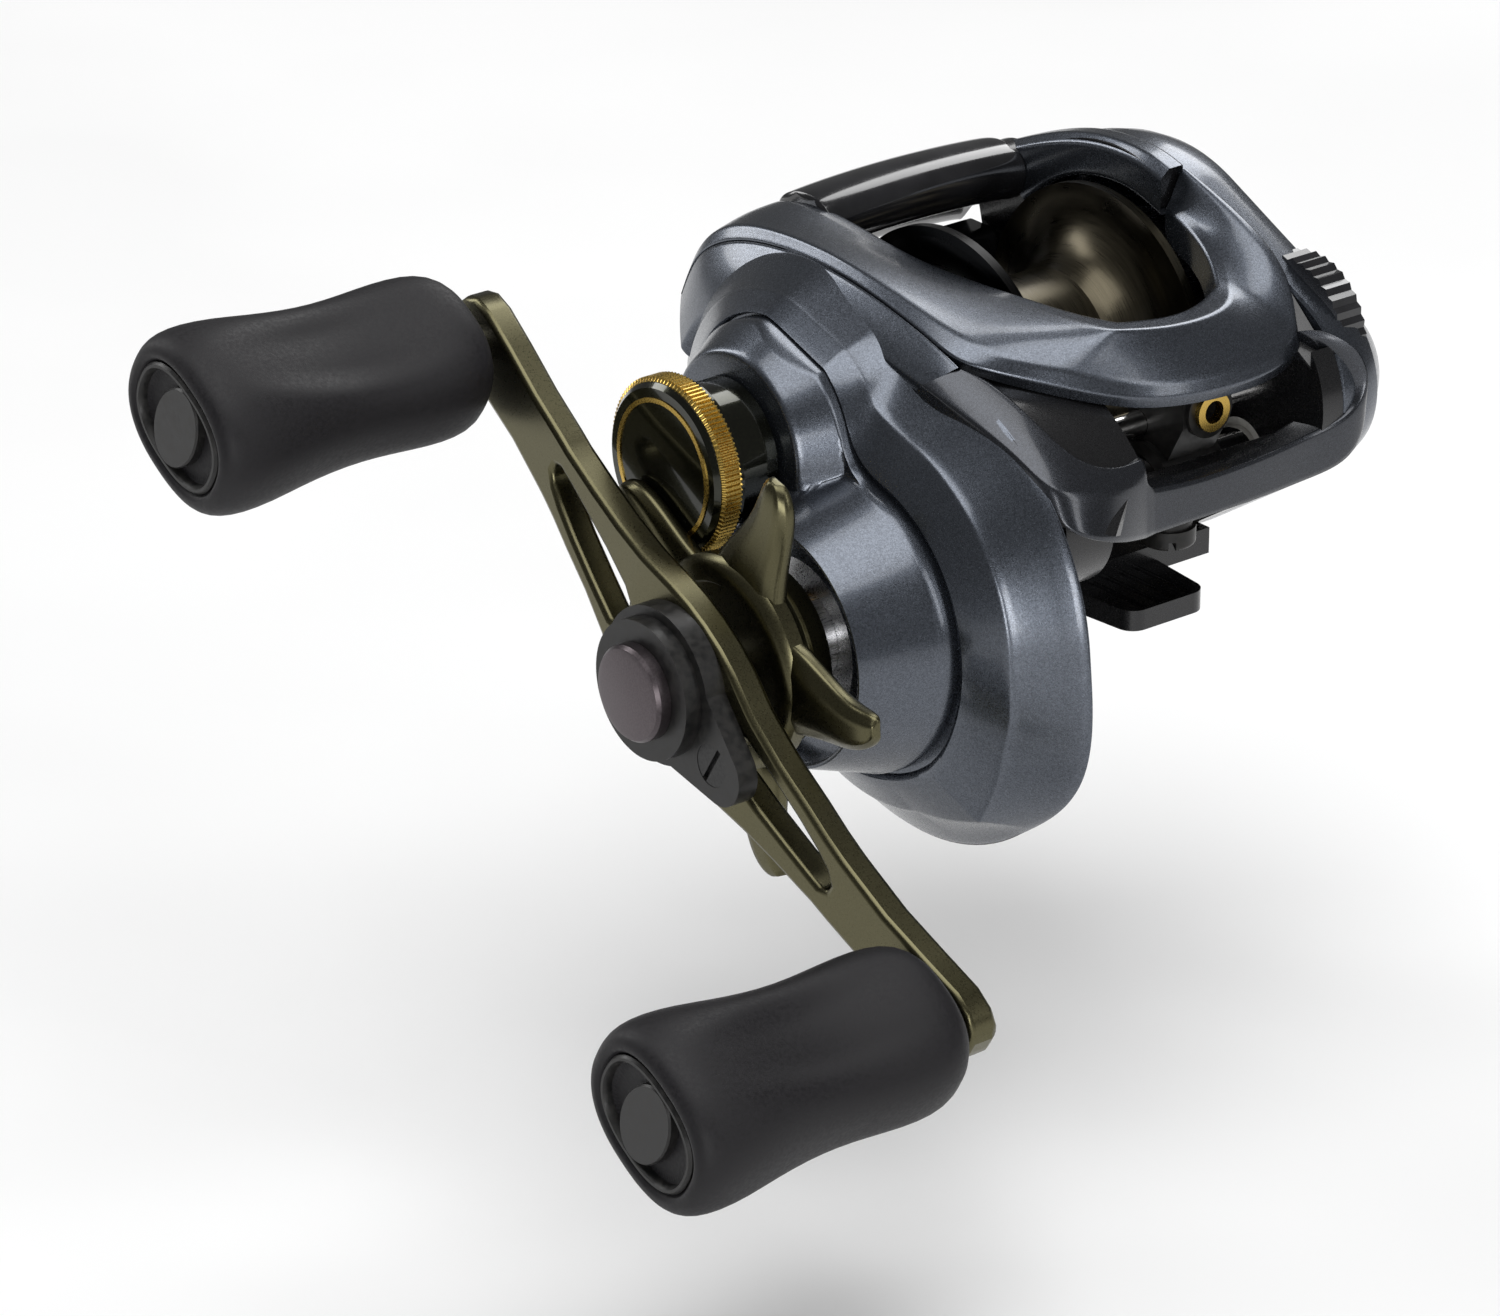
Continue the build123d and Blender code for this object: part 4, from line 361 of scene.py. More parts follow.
BLACK = surface("satin_black", "guide_black", (0.009, 0.009, 0.009), (0.019, 0.018, 0.017),
                metallic=0.0, rough=(0.32, 0.46), grain=1200.0, relief=0.000004, shine=0.32)
STEEL = surface("ground_steel", "steel", (0.42, 0.42, 0.43), (0.60, 0.60, 0.61),
                metallic=1.0, rough=(0.22, 0.36), grain=1600.0, stretch=(0.3, 4.0, 4.0))
CHROME = surface("polished_rod", "chrome_rod", (0.62, 0.61, 0.60), (0.76, 0.75, 0.74),
                 metallic=1.0, rough=(0.07, 0.14), grain=400.0, stretch=(0.2, 3.0, 3.0))
BRASS = surface("cut_brass", "gear_brass", (0.50, 0.34, 0.11), (0.66, 0.46, 0.17),
                metallic=1.0, rough=(0.22, 0.38), grain=1400.0)
NUT = surface("dark_nut_metal", "nut_metal", (0.088, 0.074, 0.080), (0.112, 0.096, 0.102),
              metallic=0.9, rough=(0.32, 0.40), grain=5000.0)
FIBRE = surface("drag_fibre", "drag_fibre", (0.05, 0.045, 0.04), (0.11, 0.10, 0.09),
                metallic=0.0, rough=(0.7, 0.9), grain=3000.0, relief=0.00002)
NYLON = surface("nylon", "nylon", (0.55, 0.54, 0.50), (0.68, 0.67, 0.63),
                metallic=0.0, rough=(0.35, 0.5), grain=900.0, relief=0.000004)
BY_SLOT = {
    finish["slot"]: finish
    for finish in (PAINT, FRAME_PAINT, BRONZE, OLIVE, DARK_OLIVE, GOLD, RUBBER, GLOSS, BLACK, STEEL,
                   CHROME, BRASS, NUT, FIBRE, NYLON)
}

# Solids with a finish of their own
INSIDE = flake_paint("black_inside", "frame_paint", (0.008, 0.008, 0.009), (0.011, 0.011, 0.012),
                     metallic=0.4, rough=(0.25, 0.34), coat=0.4)
SCREW = surface("blackened_steel", "steel", (0.012, 0.012, 0.012), (0.03, 0.03, 0.03),
                metallic=0.6, rough=(0.3, 0.4), grain=3000.0)
BY_NODE = {"frame": INSIDE, "retainer_screw": SCREW}


# Handle-side cover: rim, shoulder, dome over the drive shaft and boss under the tension knob

# Radii and heights x of boss and dome, and height x of their foot
BOSS_FOOT, BOSS_TOP, BOSS_X = 12.6, 10.2, 39.0
DOME_FOOT, DOME_TOP, DOME_X = 16.0, 13.0, 44.0
RAISED_FOOT_X = 35.0

# Widths of the blends at the waist, round the top of the boss and where the dome meets the boss
WAIST_BLEND, BOSS_BLEND, MEETING_BLEND = 5.0, 0.5, 1.3

# How far the boss's cone goes on below the foot
BOSS_SINK = 0.1

# Room for the tension knob in the dome: radius, and slope of the wall round it
ROOM_RADIUS, ROOM_SLOPE = 8.0, 7.0

# Rings (radius, height x) of the recess in the dome, and radii of the rings over its lip and down the dome
RECESS_RINGS = ((9.0, 41.6), (12.4, 41.6), (12.4, 43.5), (12.52, 43.85))
DOME_RINGS = (12.75, 12.9, 13.0, 13.08, 13.3, 13.8, 14.4, 15.0, 15.5, 15.75)

# Places from there to the edge of the raised part, gaps of the last two rings to it, and depth of the groove
FLANK_RINGS = 62
FLANK_GAP, GROOVE_GAP, GROOVE_DEPTH = 0.12, 0.03, 0.35

# Slopes of the skin as (share, height x): shoulder from the groove to the crease
SHOULDER = (
    (0.0, 33.2), (0.08, 33.2), (0.13, 33.7), (0.19, 33.85), (0.28, 33.6), (0.45, 33.0), (0.65, 32.25),
    (0.85, 31.5), (0.95, 31.12), (0.985, 30.95), (1.0, 30.8),
)

# Facet from the crease to the rim, likewise
FACET = (
    (0.03, 30.55), (0.1, 30.1), (0.3, 28.95), (0.5, 27.8), (0.7, 26.7), (0.88, 25.75), (0.97, 25.2),
    (1.0, 24.85),
)

# Place of the crease between raised part and rim, their least distance, and turn-in behind the rim
CREASE_SHARE = 0.5
LEAST_EDGE = 3.4
TURN_IN, TURN_IN_X = 1.6, 24.7

# Swell of the rim and corner of the crease: size, direction and half width in degrees
RIM_SWELL, RIM_SWELL_PLACE, RIM_SWELL_HALF = 1.5, -24.0, 30.0
CORNER_REACH, CORNER_PLACE, CORNER_HALF = 2.9, -47.0, 26.0
CORNER_POWER = 1.3

COVER_POINTS = 600


def tent(angle, place, half):
    """Share that rises straight to 1 at one direction and is 0 beyond the half width, in degrees."""
    away = np.abs((np.degrees(angle) - place + 180.0) % 360.0 - 180.0)
    return np.clip(1.0 - away / half, 0.0, 1.0)


def raised_distance(y, z):
    """Distance outside the raised part: boss and dome with a soft waist between them."""
    boss = np.hypot(y - SPOOL[0], z - SPOOL[1]) - BOSS_FOOT
    dome = np.hypot(y - DRIVE[0], z - DRIVE[1]) - DOME_FOOT
    return -soft_max(-boss, -dome, WAIST_BLEND)


def raised_height(y, z):
    """Height x of the raised part: cones of dome and boss, flat on top and flowing together."""
    boss_r = np.hypot(y - SPOOL[0], z - SPOOL[1])
    dome_r = np.hypot(y - DRIVE[0], z - DRIVE[1])
    dome = RAISED_FOOT_X + (DOME_X - RAISED_FOOT_X) * (DOME_FOOT - dome_r) / (DOME_FOOT - DOME_TOP)
    boss = RAISED_FOOT_X + (BOSS_X - RAISED_FOOT_X) * (BOSS_FOOT - boss_r) / (BOSS_FOOT - BOSS_TOP)
    boss = -soft_max(-boss, np.full_like(boss, -BOSS_X), BOSS_BLEND)
    height = soft_max(np.minimum(dome, DOME_X), np.maximum(boss, RAISED_FOOT_X - BOSS_SINK), MEETING_BLEND)
    room = BOSS_X + ROOM_SLOPE * np.maximum(boss_r - ROOM_RADIUS, 0.0)
    return np.minimum(np.minimum(height, DOME_X), room)


def make_cover():
    """Skin of the handle-side cover on rings round the drive axis that follow its edges."""
    angle = around(COVER_POINTS)
    rim = cross(angle, lambda y, z: hull_distance(y, z, CASE_BACK, CASE_FRONT))
    edge = np.minimum(cross(angle, raised_distance), rim - LEAST_EDGE)
    rim = rim + RIM_SWELL * smoothstep(0.0, 1.0, tent(angle, RIM_SWELL_PLACE, RIM_SWELL_HALF))
    corner = CORNER_REACH * tent(angle, CORNER_PLACE, CORNER_HALF) ** CORNER_POWER
    crease = edge + (rim - edge) * CREASE_SHARE + corner
    rows = []

    def add_ring(radius, height=None):
        if height is None:
            height = raised_height(*polar(angle, radius))
        rows.append(ring(height, angle, radius))

    for radius, height in RECESS_RINGS:
        add_ring(radius, height)
    for radius in DOME_RINGS:
        add_ring(radius)
    for share in np.linspace(0.0, 1.0, FLANK_RINGS)[1:]:
        add_ring(DOME_RINGS[-1] + (edge - FLANK_GAP - DOME_RINGS[-1]) * share)
    add_ring(edge - GROOVE_GAP, RAISED_FOOT_X - GROOVE_DEPTH)
    for share, height in SHOULDER:
        add_ring(edge + (crease - edge) * share, height)
    for share, height in FACET:
        add_ring(crease + (rim - crease) * share, height)
    add_ring(rim - TURN_IN, TURN_IN_X)
    faces = grid_faces(len(rows), COVER_POINTS, close_columns=True)
    add_mesh("case_skin", np.concatenate(rows), faces, PAINT, "reel_body", ("handle_side_cover",), sharp=40.0)


make_cover()


# Top hood: stations round the opening, each from the seam over the crown to the rolled edge of the opening
HOOD = (
    ((25.0, -26.9, 27.4), (24.4, -27.2, 27.6), (19.5, -27.1, 28.6),
     (15.4, -26.7, 28.8), (14.5, -26.5, 28.7), (13.8, -26.0, 26.5)),
    ((25.0, -24.9, 32.0), (24.3, -25.2, 33.0), (19.5, -25.0, 34.6),
     (15.4, -24.5, 34.4), (14.5, -24.3, 34.1), (13.7, -24.0, 31.5)),
    ((25.0, -21.5, 34.9), (24.2, -21.6, 36.4), (19.5, -21.3, 38.3),
     (15.4, -20.8, 37.9), (14.4, -20.6, 37.6), (13.6, -20.4, 35.0)),
    ((25.0, -15.8, 37.1), (24.2, -16.0, 38.4), (19.5, -15.8, 39.6),
     (15.2, -15.2, 38.4), (14.1, -15.0, 37.9), (13.4, -15.0, 35.0)),
    ((25.0, -7.5, 38.1), (24.1, -7.5, 39.1), (19.0, -7.4, 39.3),
     (14.3, -7.2, 36.9), (13.3, -7.2, 36.4), (12.6, -7.2, 33.5)),
    ((25.0, 0.6, 37.8), (24.0, 0.6, 38.7), (18.6, 0.2, 38.5),
     (13.9, -0.2, 36.1), (12.9, -0.3, 35.7), (12.4, -0.3, 33.0)),
    ((25.0, 8.7, 36.4), (23.8, 8.6, 37.3), (18.0, 8.2, 37.4),
     (13.4, 7.2, 36.0), (12.4, 7.0, 35.8), (11.9, 7.0, 33.0)),
    ((25.0, 15.5, 34.6), (23.3, 15.7, 35.6), (17.0, 15.7, 36.3),
     (11.8, 14.9, 35.7), (10.8, 14.6, 35.6), (10.6, 14.0, 32.6)),
    ((24.9, 19.0, 33.4), (22.2, 19.9, 34.4), (15.4, 20.7, 35.5),
     (10.4, 19.9, 35.4), (9.4, 19.3, 35.3), (9.4, 18.3, 32.2)),
    ((17.5, 24.4, 31.2), (15.9, 24.9, 32.4), (11.6, 24.7, 34.2),
     (7.9, 23.4, 34.9), (7.0, 22.6, 34.9), (7.0, 21.2, 32.0)),
    ((10.0, 29.6, 28.9), (9.2, 29.2, 30.2), (6.4, 27.4, 32.4),
     (3.6, 24.2, 34.2), (3.0, 23.2, 34.4), (3.0, 21.6, 31.6)),
    ((0.0, 31.0, 28.2), (0.0, 30.6, 29.6), (-0.4, 28.2, 31.6),
     (-1.0, 24.0, 33.7), (-1.2, 22.9, 33.9), (-1.2, 21.4, 31.2)),
    ((-8.6, 30.7, 28.3), (-8.4, 30.3, 29.7), (-7.2, 27.6, 31.9),
     (-5.6, 23.2, 33.8), (-5.2, 22.0, 34.0), (-5.0, 20.6, 31.2)),
    ((-12.8, 28.9, 29.2), (-12.6, 28.4, 30.9), (-11.0, 25.8, 33.4),
     (-8.9, 22.2, 34.8), (-8.1, 21.0, 34.9), (-7.8, 19.8, 32.0)),
    ((-15.4, 25.2, 32.4), (-15.4, 24.6, 35.2), (-14.0, 22.2, 36.7),
     (-11.4, 18.2, 36.5), (-10.5, 17.2, 36.3), (-10.2, 16.6, 33.0)),
    ((-16.0, 18.0, 35.5), (-16.0, 17.6, 38.9), (-14.9, 16.2, 39.7),
     (-12.9, 13.4, 37.9), (-12.1, 12.6, 37.4), (-11.8, 12.2, 34.0)),
    ((-16.0, 7.4, 38.0), (-16.0, 7.4, 41.9), (-15.1, 7.4, 42.4),
     (-13.7, 7.4, 39.2), (-13.0, 7.4, 38.2), (-12.7, 7.4, 34.5)),
)

# Stations with a broader roll, its reach and lift, and the step inwards from the seam
BROAD_STATIONS = range(2, 13)
ROLL_REACH, ROLL_LIFT = 1.7, 0.35
HOOD_TUCK = (-0.6, -0.5, -1.2)

# Stations whose seam lies beyond this x also step in along x
HOOD_SIDE_X = 20.0


def make_hood():
    """Skin of the top hood with turned-in outer edges and a rolled edge at the opening."""
    rows = []
    for k, (seam, crown, middle, inner, roll, wall) in enumerate(HOOD):
        if k in BROAD_STATIONS:
            flat = tuple(a + ROLL_REACH * (a - b) for a, b in zip(inner[:2], roll[:2]))
            inner = (*flat, inner[2] + ROLL_LIFT)
            middle = shift(between(crown, inner), (0.0, 0.0, ROLL_LIFT))
        step_x = HOOD_TUCK[0] if seam[0] > HOOD_SIDE_X else 0.0
        rows.append([shift(seam, (step_x, *HOOD_TUCK[1:])), seam, crown, middle, inner, roll, wall])
    add_net("hood_skin", rows, PAINT, "reel_body", {1: 0.95, 2: 0.92, 4: 0.92, 5: 0.9},
            {0: 1.0, 9: 0.5, 13: 0.5, 16: 1.0}, ("top_hood",))


make_hood()


# Light band along the seam between hood and cover: seam edge (x, y, z) and lower edge
BAND = (
    ((25.0, -26.9, 27.2), (27.6, -23.6, 22.8)),
    ((25.0, -24.8, 31.9), (28.0, -20.8, 27.0)),
    ((25.05, -21.5, 34.75), (28.2, -16.9, 29.6)),
    ((25.05, -15.8, 36.95), (28.2, -12.6, 31.6)),
    ((25.05, -7.5, 37.95), (28.2, -6.6, 33.4)),
    ((25.05, 0.6, 37.65), (28.2, -0.4, 34.0)),
    ((25.05, 8.7, 36.25), (28.2, 8.3, 32.7)),
    ((25.05, 15.5, 34.45), (28.1, 14.2, 31.6)),
    ((25.0, 18.8, 33.2), (28.0, 17.2, 31.0)),
)

# Steps from the seam edge inwards, from the middle outwards and from the lower edge under the cover
BAND_TUCK, BAND_SWELL, BAND_UNDER = (-0.6, 0.0, -0.9), (0.25, 0.0, 0.25), (-1.6, 0.0, -2.2)


def make_band():
    """Bright facet between the hood and the rim of the cover."""
    rows = []
    for top, low in BAND:
        middle = shift(between(top, low), BAND_SWELL)
        rows.append([shift(top, BAND_TUCK), top, middle, low, shift(low, BAND_UNDER)])
    add_net("seam_band", rows, PAINT, "reel_body", {1: 0.95, 3: 0.95}, {0: 1.0, 8: 1.0})


make_band()


# Frame front: each station runs from the lower edge over the front face and its crease to the opening
FRONT = (
    ((28.2, 16.0, 30.6), (28.4, 17.0, 31.5), (26.8, 18.2, 32.5), (24.4, 18.8, 32.9), (23.8, 18.6, 31.0)),
    ((27.4, 20.4, 28.2), (27.3, 21.2, 29.8), (25.4, 21.5, 31.3), (22.6, 21.2, 31.9), (22.0, 20.8, 30.0)),
    ((25.9, 28.0, 25.2), (25.7, 28.8, 27.0), (24.3, 28.2, 28.2), (22.0, 25.8, 29.8), (21.5, 25.2, 28.2)),
    ((25.2, 35.6, 20.6), (25.1, 33.7, 24.0), (23.6, 32.2, 25.6), (21.1, 30.1, 27.2), (20.6, 29.6, 25.8)),
    ((21.0, 36.7, 18.8), (20.9, 34.5, 23.5), (20.4, 33.2, 24.8), (19.6, 32.0, 25.6), (19.2, 31.4, 24.2)),
    ((16.6, 35.5, 17.1), (16.8, 34.7, 22.7), (16.6, 33.8, 23.8), (16.4, 33.1, 24.3), (16.2, 32.2, 22.8)),
    ((12.4, 33.9, 16.0), (12.4, 33.6, 21.9), (12.1, 33.5, 23.2), (11.9, 32.6, 24.3), (11.8, 31.0, 24.4)),
    ((11.0, 33.6, 16.0), (11.0, 33.4, 21.0), (10.8, 31.4, 20.9), (10.6, 28.4, 20.1), (10.6, 27.2, 17.0)),
    ((5.0, 33.3, 15.9), (5.0, 33.1, 20.2), (4.8, 31.2, 20.0), (4.6, 28.2, 19.1), (4.6, 27.0, 16.0)),
    ((-4.0, 33.0, 15.8), (-4.2, 33.0, 20.4), (-4.2, 31.1, 20.2), (-4.2, 28.2, 19.2), (-4.2, 27.0, 16.0)),
    ((-11.0, 32.6, 16.0), (-11.4, 32.9, 21.3), (-11.2, 30.8, 21.0), (-11.0, 28.2, 20.2), (-11.0, 27.0, 17.0)),
    ((-16.2, 33.4, 16.8), (-16.4, 34.0, 22.4), (-15.6, 31.8, 22.6), (-14.9, 29.0, 22.2), (-14.0, 27.0, 19.5)),
    ((-18.7, 33.4, 20.6), (-18.4, 34.2, 26.0), (-16.6, 32.8, 26.6), (-15.2, 30.4, 26.6), (-14.6, 28.6, 25.6)),
    ((-18.2, 32.8, 27.6), (-16.8, 33.2, 30.0), (-15.2, 32.0, 30.2), (-13.9, 30.6, 30.0), (-13.4, 28.8, 29.4)),
    ((-15.0, 30.4, 30.0), (-14.2, 30.6, 31.2), (-13.4, 29.6, 31.2), (-12.6, 28.8, 31.0), (-12.4, 27.6, 30.4)),
)

# Step from the lower edge inwards
FRONT_TUCK = (0.0, -1.6, 0.2)


def make_front():
    """Skin of the frame's front: strip beside the cover, front bar and palm-side post."""
    rows = [[shift(station[0], FRONT_TUCK), *station] for station in FRONT]
    add_net("front_skin", rows, FRAME_PAINT, "reel_body", {1: 0.95, 2: 0.95, 4: 0.9}, {6: 0.6, 7: 0.6})


make_front()


# Palm arch of the frame over the far flange: stations (turn from upright in degrees, radius of the crest)
ARCH = ((-52.0, 25.4), (-38.0, 23.2), (-24.0, 22.2), (-10.0, 21.9), (4.0, 21.9), (14.0, 22.1))

# Section of the arch below its crest, as (x, radius) and then (x, depth under the crest)
ARCH_FOOT = ((-13.5, 17.4), (-11.95, 17.55))
ARCH_CROWN = ((-11.95, 0.9), (-13.0, 0.0), (-15.0, 0.0), (-15.05, 1.6))

# Plane at which the last section is cut upright
ARCH_END_Y = 7.7


def make_arch():
    """Painted arch over the palm-side flange of the spool."""
    rows = []
    for turn, crest in ARCH:
        side, up = math.sin(math.radians(turn)), math.cos(math.radians(turn))
        section = ARCH_FOOT + tuple((x, crest - depth) for x, depth in ARCH_CROWN)
        rows.append([(x, SPOOL[0] + r * side, SPOOL[1] + r * up) for x, r in section])
    rows.append([(x, ARCH_END_Y, SPOOL[1] + math.sqrt(r * r - ARCH_END_Y ** 2)) for x, r in section])
    add_net("palm_arch", rows, PAINT, "reel_body", {1: 0.8, 2: 0.85, 3: 0.6, 4: 0.8}, {0: 1.0, 6: 1.0})


make_arch()


# Thumb rest: section (y, z) with a rear lip that reaches down, and stations (x, lift of the section)
REST_SECTION = (
    (-23.4, 35.0), (-22.8, 38.0), (-20.0, 39.5), (-16.4, 39.6), (-13.9, 38.4), (-13.6, 35.8),
    (-15.6, 33.2), (-19.4, 32.3), (-22.2, 31.6), (-24.4, 28.2), (-25.6, 28.2), (-25.0, 32.4),
)
REST = ((-11.9, -0.6), (-11.0, -0.4), (-4.0, 0.0), (4.0, 0.1), (11.0, -0.2), (14.4, -0.5), (15.0, -0.6))


def make_rest():
    """Gloss thumb rest across the back."""
    rows = [[(x, y, z + lift) for y, z in REST_SECTION] for x, lift in REST]
    add_net("thumb_rest", rows, GLOSS, "reel_body", {}, {0: 1.0, 6: 1.0}, tube=True)


make_rest()


# Palm-side cover: steps (x, inset from its outline) from the seam to the palm, and rays from an inner point
PALM_STEPS = (
    (-15.1, 1.6), (-15.1, 0.3), (-15.35, 0.0), (-17.0, -0.05), (-19.4, 0.5), (-21.0, 1.2), (-21.3, 1.6),
    (-21.6, 2.1), (-23.0, 3.2), (-24.4, 4.5), (-25.5, 5.8), (-26.4, 7.2), (-27.0, 8.4), (-27.3, 9.2),
    (-27.45, 9.8), (-27.5, 10.2),
)
PALM_CENTRE = (9.0, 22.0)
PALM_POINTS = 160


def make_palm():
    """Skin of the palm-side cover, rounded from the seam to the palm."""
    angle = around(PALM_POINTS)
    rows = []
    for x, inset in PALM_STEPS:
        radius = cross(angle, lambda y, z: hull_distance(y, z, PALM_BACK, PALM_FRONT) + inset, PALM_CENTRE)
        rows.append(ring(x, angle, radius, PALM_CENTRE))
    points = np.concatenate(rows)
    faces = grid_faces(len(rows), PALM_POINTS, close_columns=True)
    faces.append(tuple(range(len(points) - PALM_POINTS, len(points))))
    face_out(add_mesh("palm_skin", points, faces, PAINT, "palm_cover", ("palm_side_cover",), sharp=28.0))


make_palm()


# Star drag: profile of the hub as (x, radius)
STAR_HUB = (
    (44.5, 4.0), (44.5, 9.3), (45.0, 9.6), (47.2, 10.3), (47.4, 10.1), (47.7, 10.1), (47.9, 10.6),
    (49.0, 11.4), (50.7, 11.5), (51.3, 11.1), (51.7, 10.3), (51.7, 8.9), (51.3, 8.6), (51.3, 4.0),
)

# Swept blades: stations (distance from the axis, sideways lean, half width, top x, low x)
STAR_BLADE = (
    (9.4, 0.0, 5.0, 51.2, 48.6), (11.6, -0.1, 4.5, 51.2, 48.7), (14.0, -0.6, 3.7, 51.0, 48.8),
    (16.6, -1.2, 3.0, 50.9, 48.8), (19.0, -1.5, 2.5, 50.9, 48.8), (21.0, -1.3, 2.1, 50.8, 48.9),
    (22.3, -0.9, 1.5, 50.5, 49.0), (22.7, -0.7, 0.9, 50.2, 49.2),
)
STAR_BLADES = 5
STAR_PHASE = math.radians(74.8)

# Bevels along the two sides of a blade: drop at the side, and share of the half width that stays flat
FIRST_DROP, FIRST_FLAT = 0.9, 0.62
SECOND_DROP, SECOND_FLAT = 0.7, 0.45


def make_star():
    """Star drag with a grooved hub and bevelled blades."""
    add_turned("star_hub", STAR_HUB, OLIVE, "star_group", ("star_drag",), segments=120)
    for k in range(STAR_BLADES):
        turn = STAR_PHASE + FULL_TURN * k / STAR_BLADES
        c, s = math.cos(turn), math.sin(turn)
        rows = []
        for r, lean, half, top, low in STAR_BLADE:
            section = ((low, -half), (top - FIRST_DROP, -half), (top, -half * FIRST_FLAT),
                       (top, half * SECOND_FLAT), (top - SECOND_DROP, half), (low, half))
            rows.append([(x, DRIVE[0] + r * c - (t + lean) * s, DRIVE[1] + r * s + (t + lean) * c)
                         for x, t in section])
        creases = {0: 0.9, 1: 0.5, 2: 0.85, 3: 0.85, 4: 0.5, 5: 0.9}
        face_out(add_net("star_blade_%d" % k, rows, OLIVE, "star_group", creases, {0: 1.0, 7: 0.4},
                         levels=2, tube=True))


make_star()


# Paddle knobs: foot x, and stations (height over the foot, half length, half width, dish depth, dish share)
PADDLE_X = 55.3
PADDLE = (
    (0.0, 3.4, 3.0, 0.0, 0.9), (0.25, 5.4, 4.9, 0.0, 0.9), (1.0, 7.0, 6.2, 0.0, 0.9),
    (2.4, 8.2, 7.1, 0.15, 0.95), (4.6, 8.8, 7.5, 0.6, 0.98), (8.0, 8.9, 7.5, 1.2, 0.99),
    (12.0, 8.6, 7.3, 1.65, 0.98), (16.0, 8.4, 7.2, 1.8, 0.92), (20.0, 8.6, 7.4, 1.6, 0.82),
    (24.0, 9.1, 7.8, 1.1, 0.68), (28.0, 9.8, 8.2, 0.5, 0.5), (31.5, 10.1, 8.3, 0.1, 0.4),
    (33.8, 9.9, 8.0, 0.0, 0.4), (35.0, 9.4, 7.5, 0.0, 0.4), (35.6, 8.8, 6.9, 0.0, 0.4),
    (35.8, 8.1, 6.2, 0.0, 0.4), (35.7, 7.5, 5.6, 0.0, 0.4), (34.4, 7.4, 5.5, 0.0, 0.4),
)
KNOB_POINTS = 72
KNOB_POWER = 0.84

# Share of the dish's half length inside which it has its full depth
DISH_FULL = 0.25

# End cap: height of its top over the knob's foot, and rim as (height over the top, half length, half width)
CAP_TOP = 35.75
CAP_RIM = (
    (-1.5, 7.3, 5.4), (-0.3, 7.3, 5.4), (0.0, 7.05, 5.15), (0.0, 6.75, 4.85), (-0.4, 6.5, 4.6),
    (-1.4, 6.4, 4.5),
)

# Centre of the cap: rings (height over the top, half length), and its width over its length
CAP_CENTRE = ((-1.45, 3.5), (-0.2, 3.5), (0.02, 3.35))
CENTRE_STRETCH = 1.42


def arm_point(x, along, across):
    """Point at a height x, along and across the handle arm from the drive axis."""
    c, s = math.cos(ARM_ANGLE), math.sin(ARM_ANGLE)
    return (x, DRIVE[0] + along * c - across * s, DRIVE[1] + along * s + across * c)


def knob_section(half_long, half_wide, dish=0.0, share=1.0):
    """Squarish oval of a knob, with a dish on its two broad sides over a share of its length."""
    pairs = []
    for angle in around(KNOB_POINTS):
        c, s = math.cos(angle), math.sin(angle)
        along = half_long * math.copysign(abs(c) ** KNOB_POWER, c)
        across = half_wide * math.copysign(abs(s) ** KNOB_POWER, s)
        hollow = dish * float(smoothstep(1.0, DISH_FULL, abs(along) / (share * half_long)))
        pairs.append((along, across - math.copysign(hollow, s)))
    return pairs


def make_knob(way, label):
    """Moulded paddle knob with its end cap: oval rim, and a centre with a dark window on each side."""
    axis, body = way * ARM_LENGTH, label + "_group"

    def add_part(name, rings, finish, nodes=(), sharp=32.0):
        points = [arm_point(x, axis + along, across) for x, pairs in rings for along, across in pairs]
        faces = tube_faces(len(rings), KNOB_POINTS)
        return face_out(add_mesh(name, points, faces, finish, body, nodes, sharp))

    grip = [(PADDLE_X + step, knob_section(*sizes)) for step, *sizes in PADDLE]
    round_off(add_part(label + "_grip", grip, RUBBER, (label,), sharp=50.0), 1)
    top = PADDLE_X + CAP_TOP
    rim = [(top + step, knob_section(*halves)) for step, *halves in CAP_RIM]
    add_part(label + "_rim", rim, BLACK, (label + "_cap",))
    turns = around(KNOB_POINTS)
    centre = [(top + step, [(r * math.cos(a), r * CENTRE_STRETCH * math.sin(a)) for a in turns])
              for step, r in CAP_CENTRE]
    add_part(label + "_centre", centre, BLACK)


make_knob(1, "lower_knob")
make_knob(-1, "upper_knob")


# Handle arm: stations (along, low edge, high edge, window low, window high or None) from one end to the hub
ARM = (
    (-49.4, -0.3, 1.7, None, None), (-48.7, -1.9, 3.4, None, None), (-47.3, -2.9, 4.5, None, None),
    (-45.0, -3.4, 5.0, None, None), (-40.0, -3.0, 5.0, None, None), (-34.0, -2.6, 4.8, None, None),
    (-28.6, -2.9, 5.0, None, None), (-27.1, -3.0, 5.0, 0.7, 1.9), (-26.2, -3.1, 5.0, -0.1, 2.4),
    (-24.0, -3.4, 5.2, -1.0, 2.4), (-20.5, -4.1, 5.5, -1.9, 2.3), (-15.6, -4.9, 6.1, -2.8, 2.1),
    (-11.0, -6.1, 7.0, -3.5, 1.6), (-9.6, -6.6, 7.4, -3.0, 0.9), (-6.0, -7.9, 8.2, None, None),
    (-3.0, -8.5, 8.6, None, None), (0.0, -8.7, 8.7, None, None),
)

# Height x of the face, thickness, half length of the level middle, and fall of the face out to the knobs
ARM_FACE, ARM_THICK, ARM_FLAT, ARM_FALL = 57.4, 3.35, 9.0, 3.4

# Shares of the width at which a station without a window is divided
ARM_SPLIT = (0.36, 0.62)

# Rounding of the edges: width, segments and least angle in degrees
ARM_EDGE = (0.6, 3, 40.0)


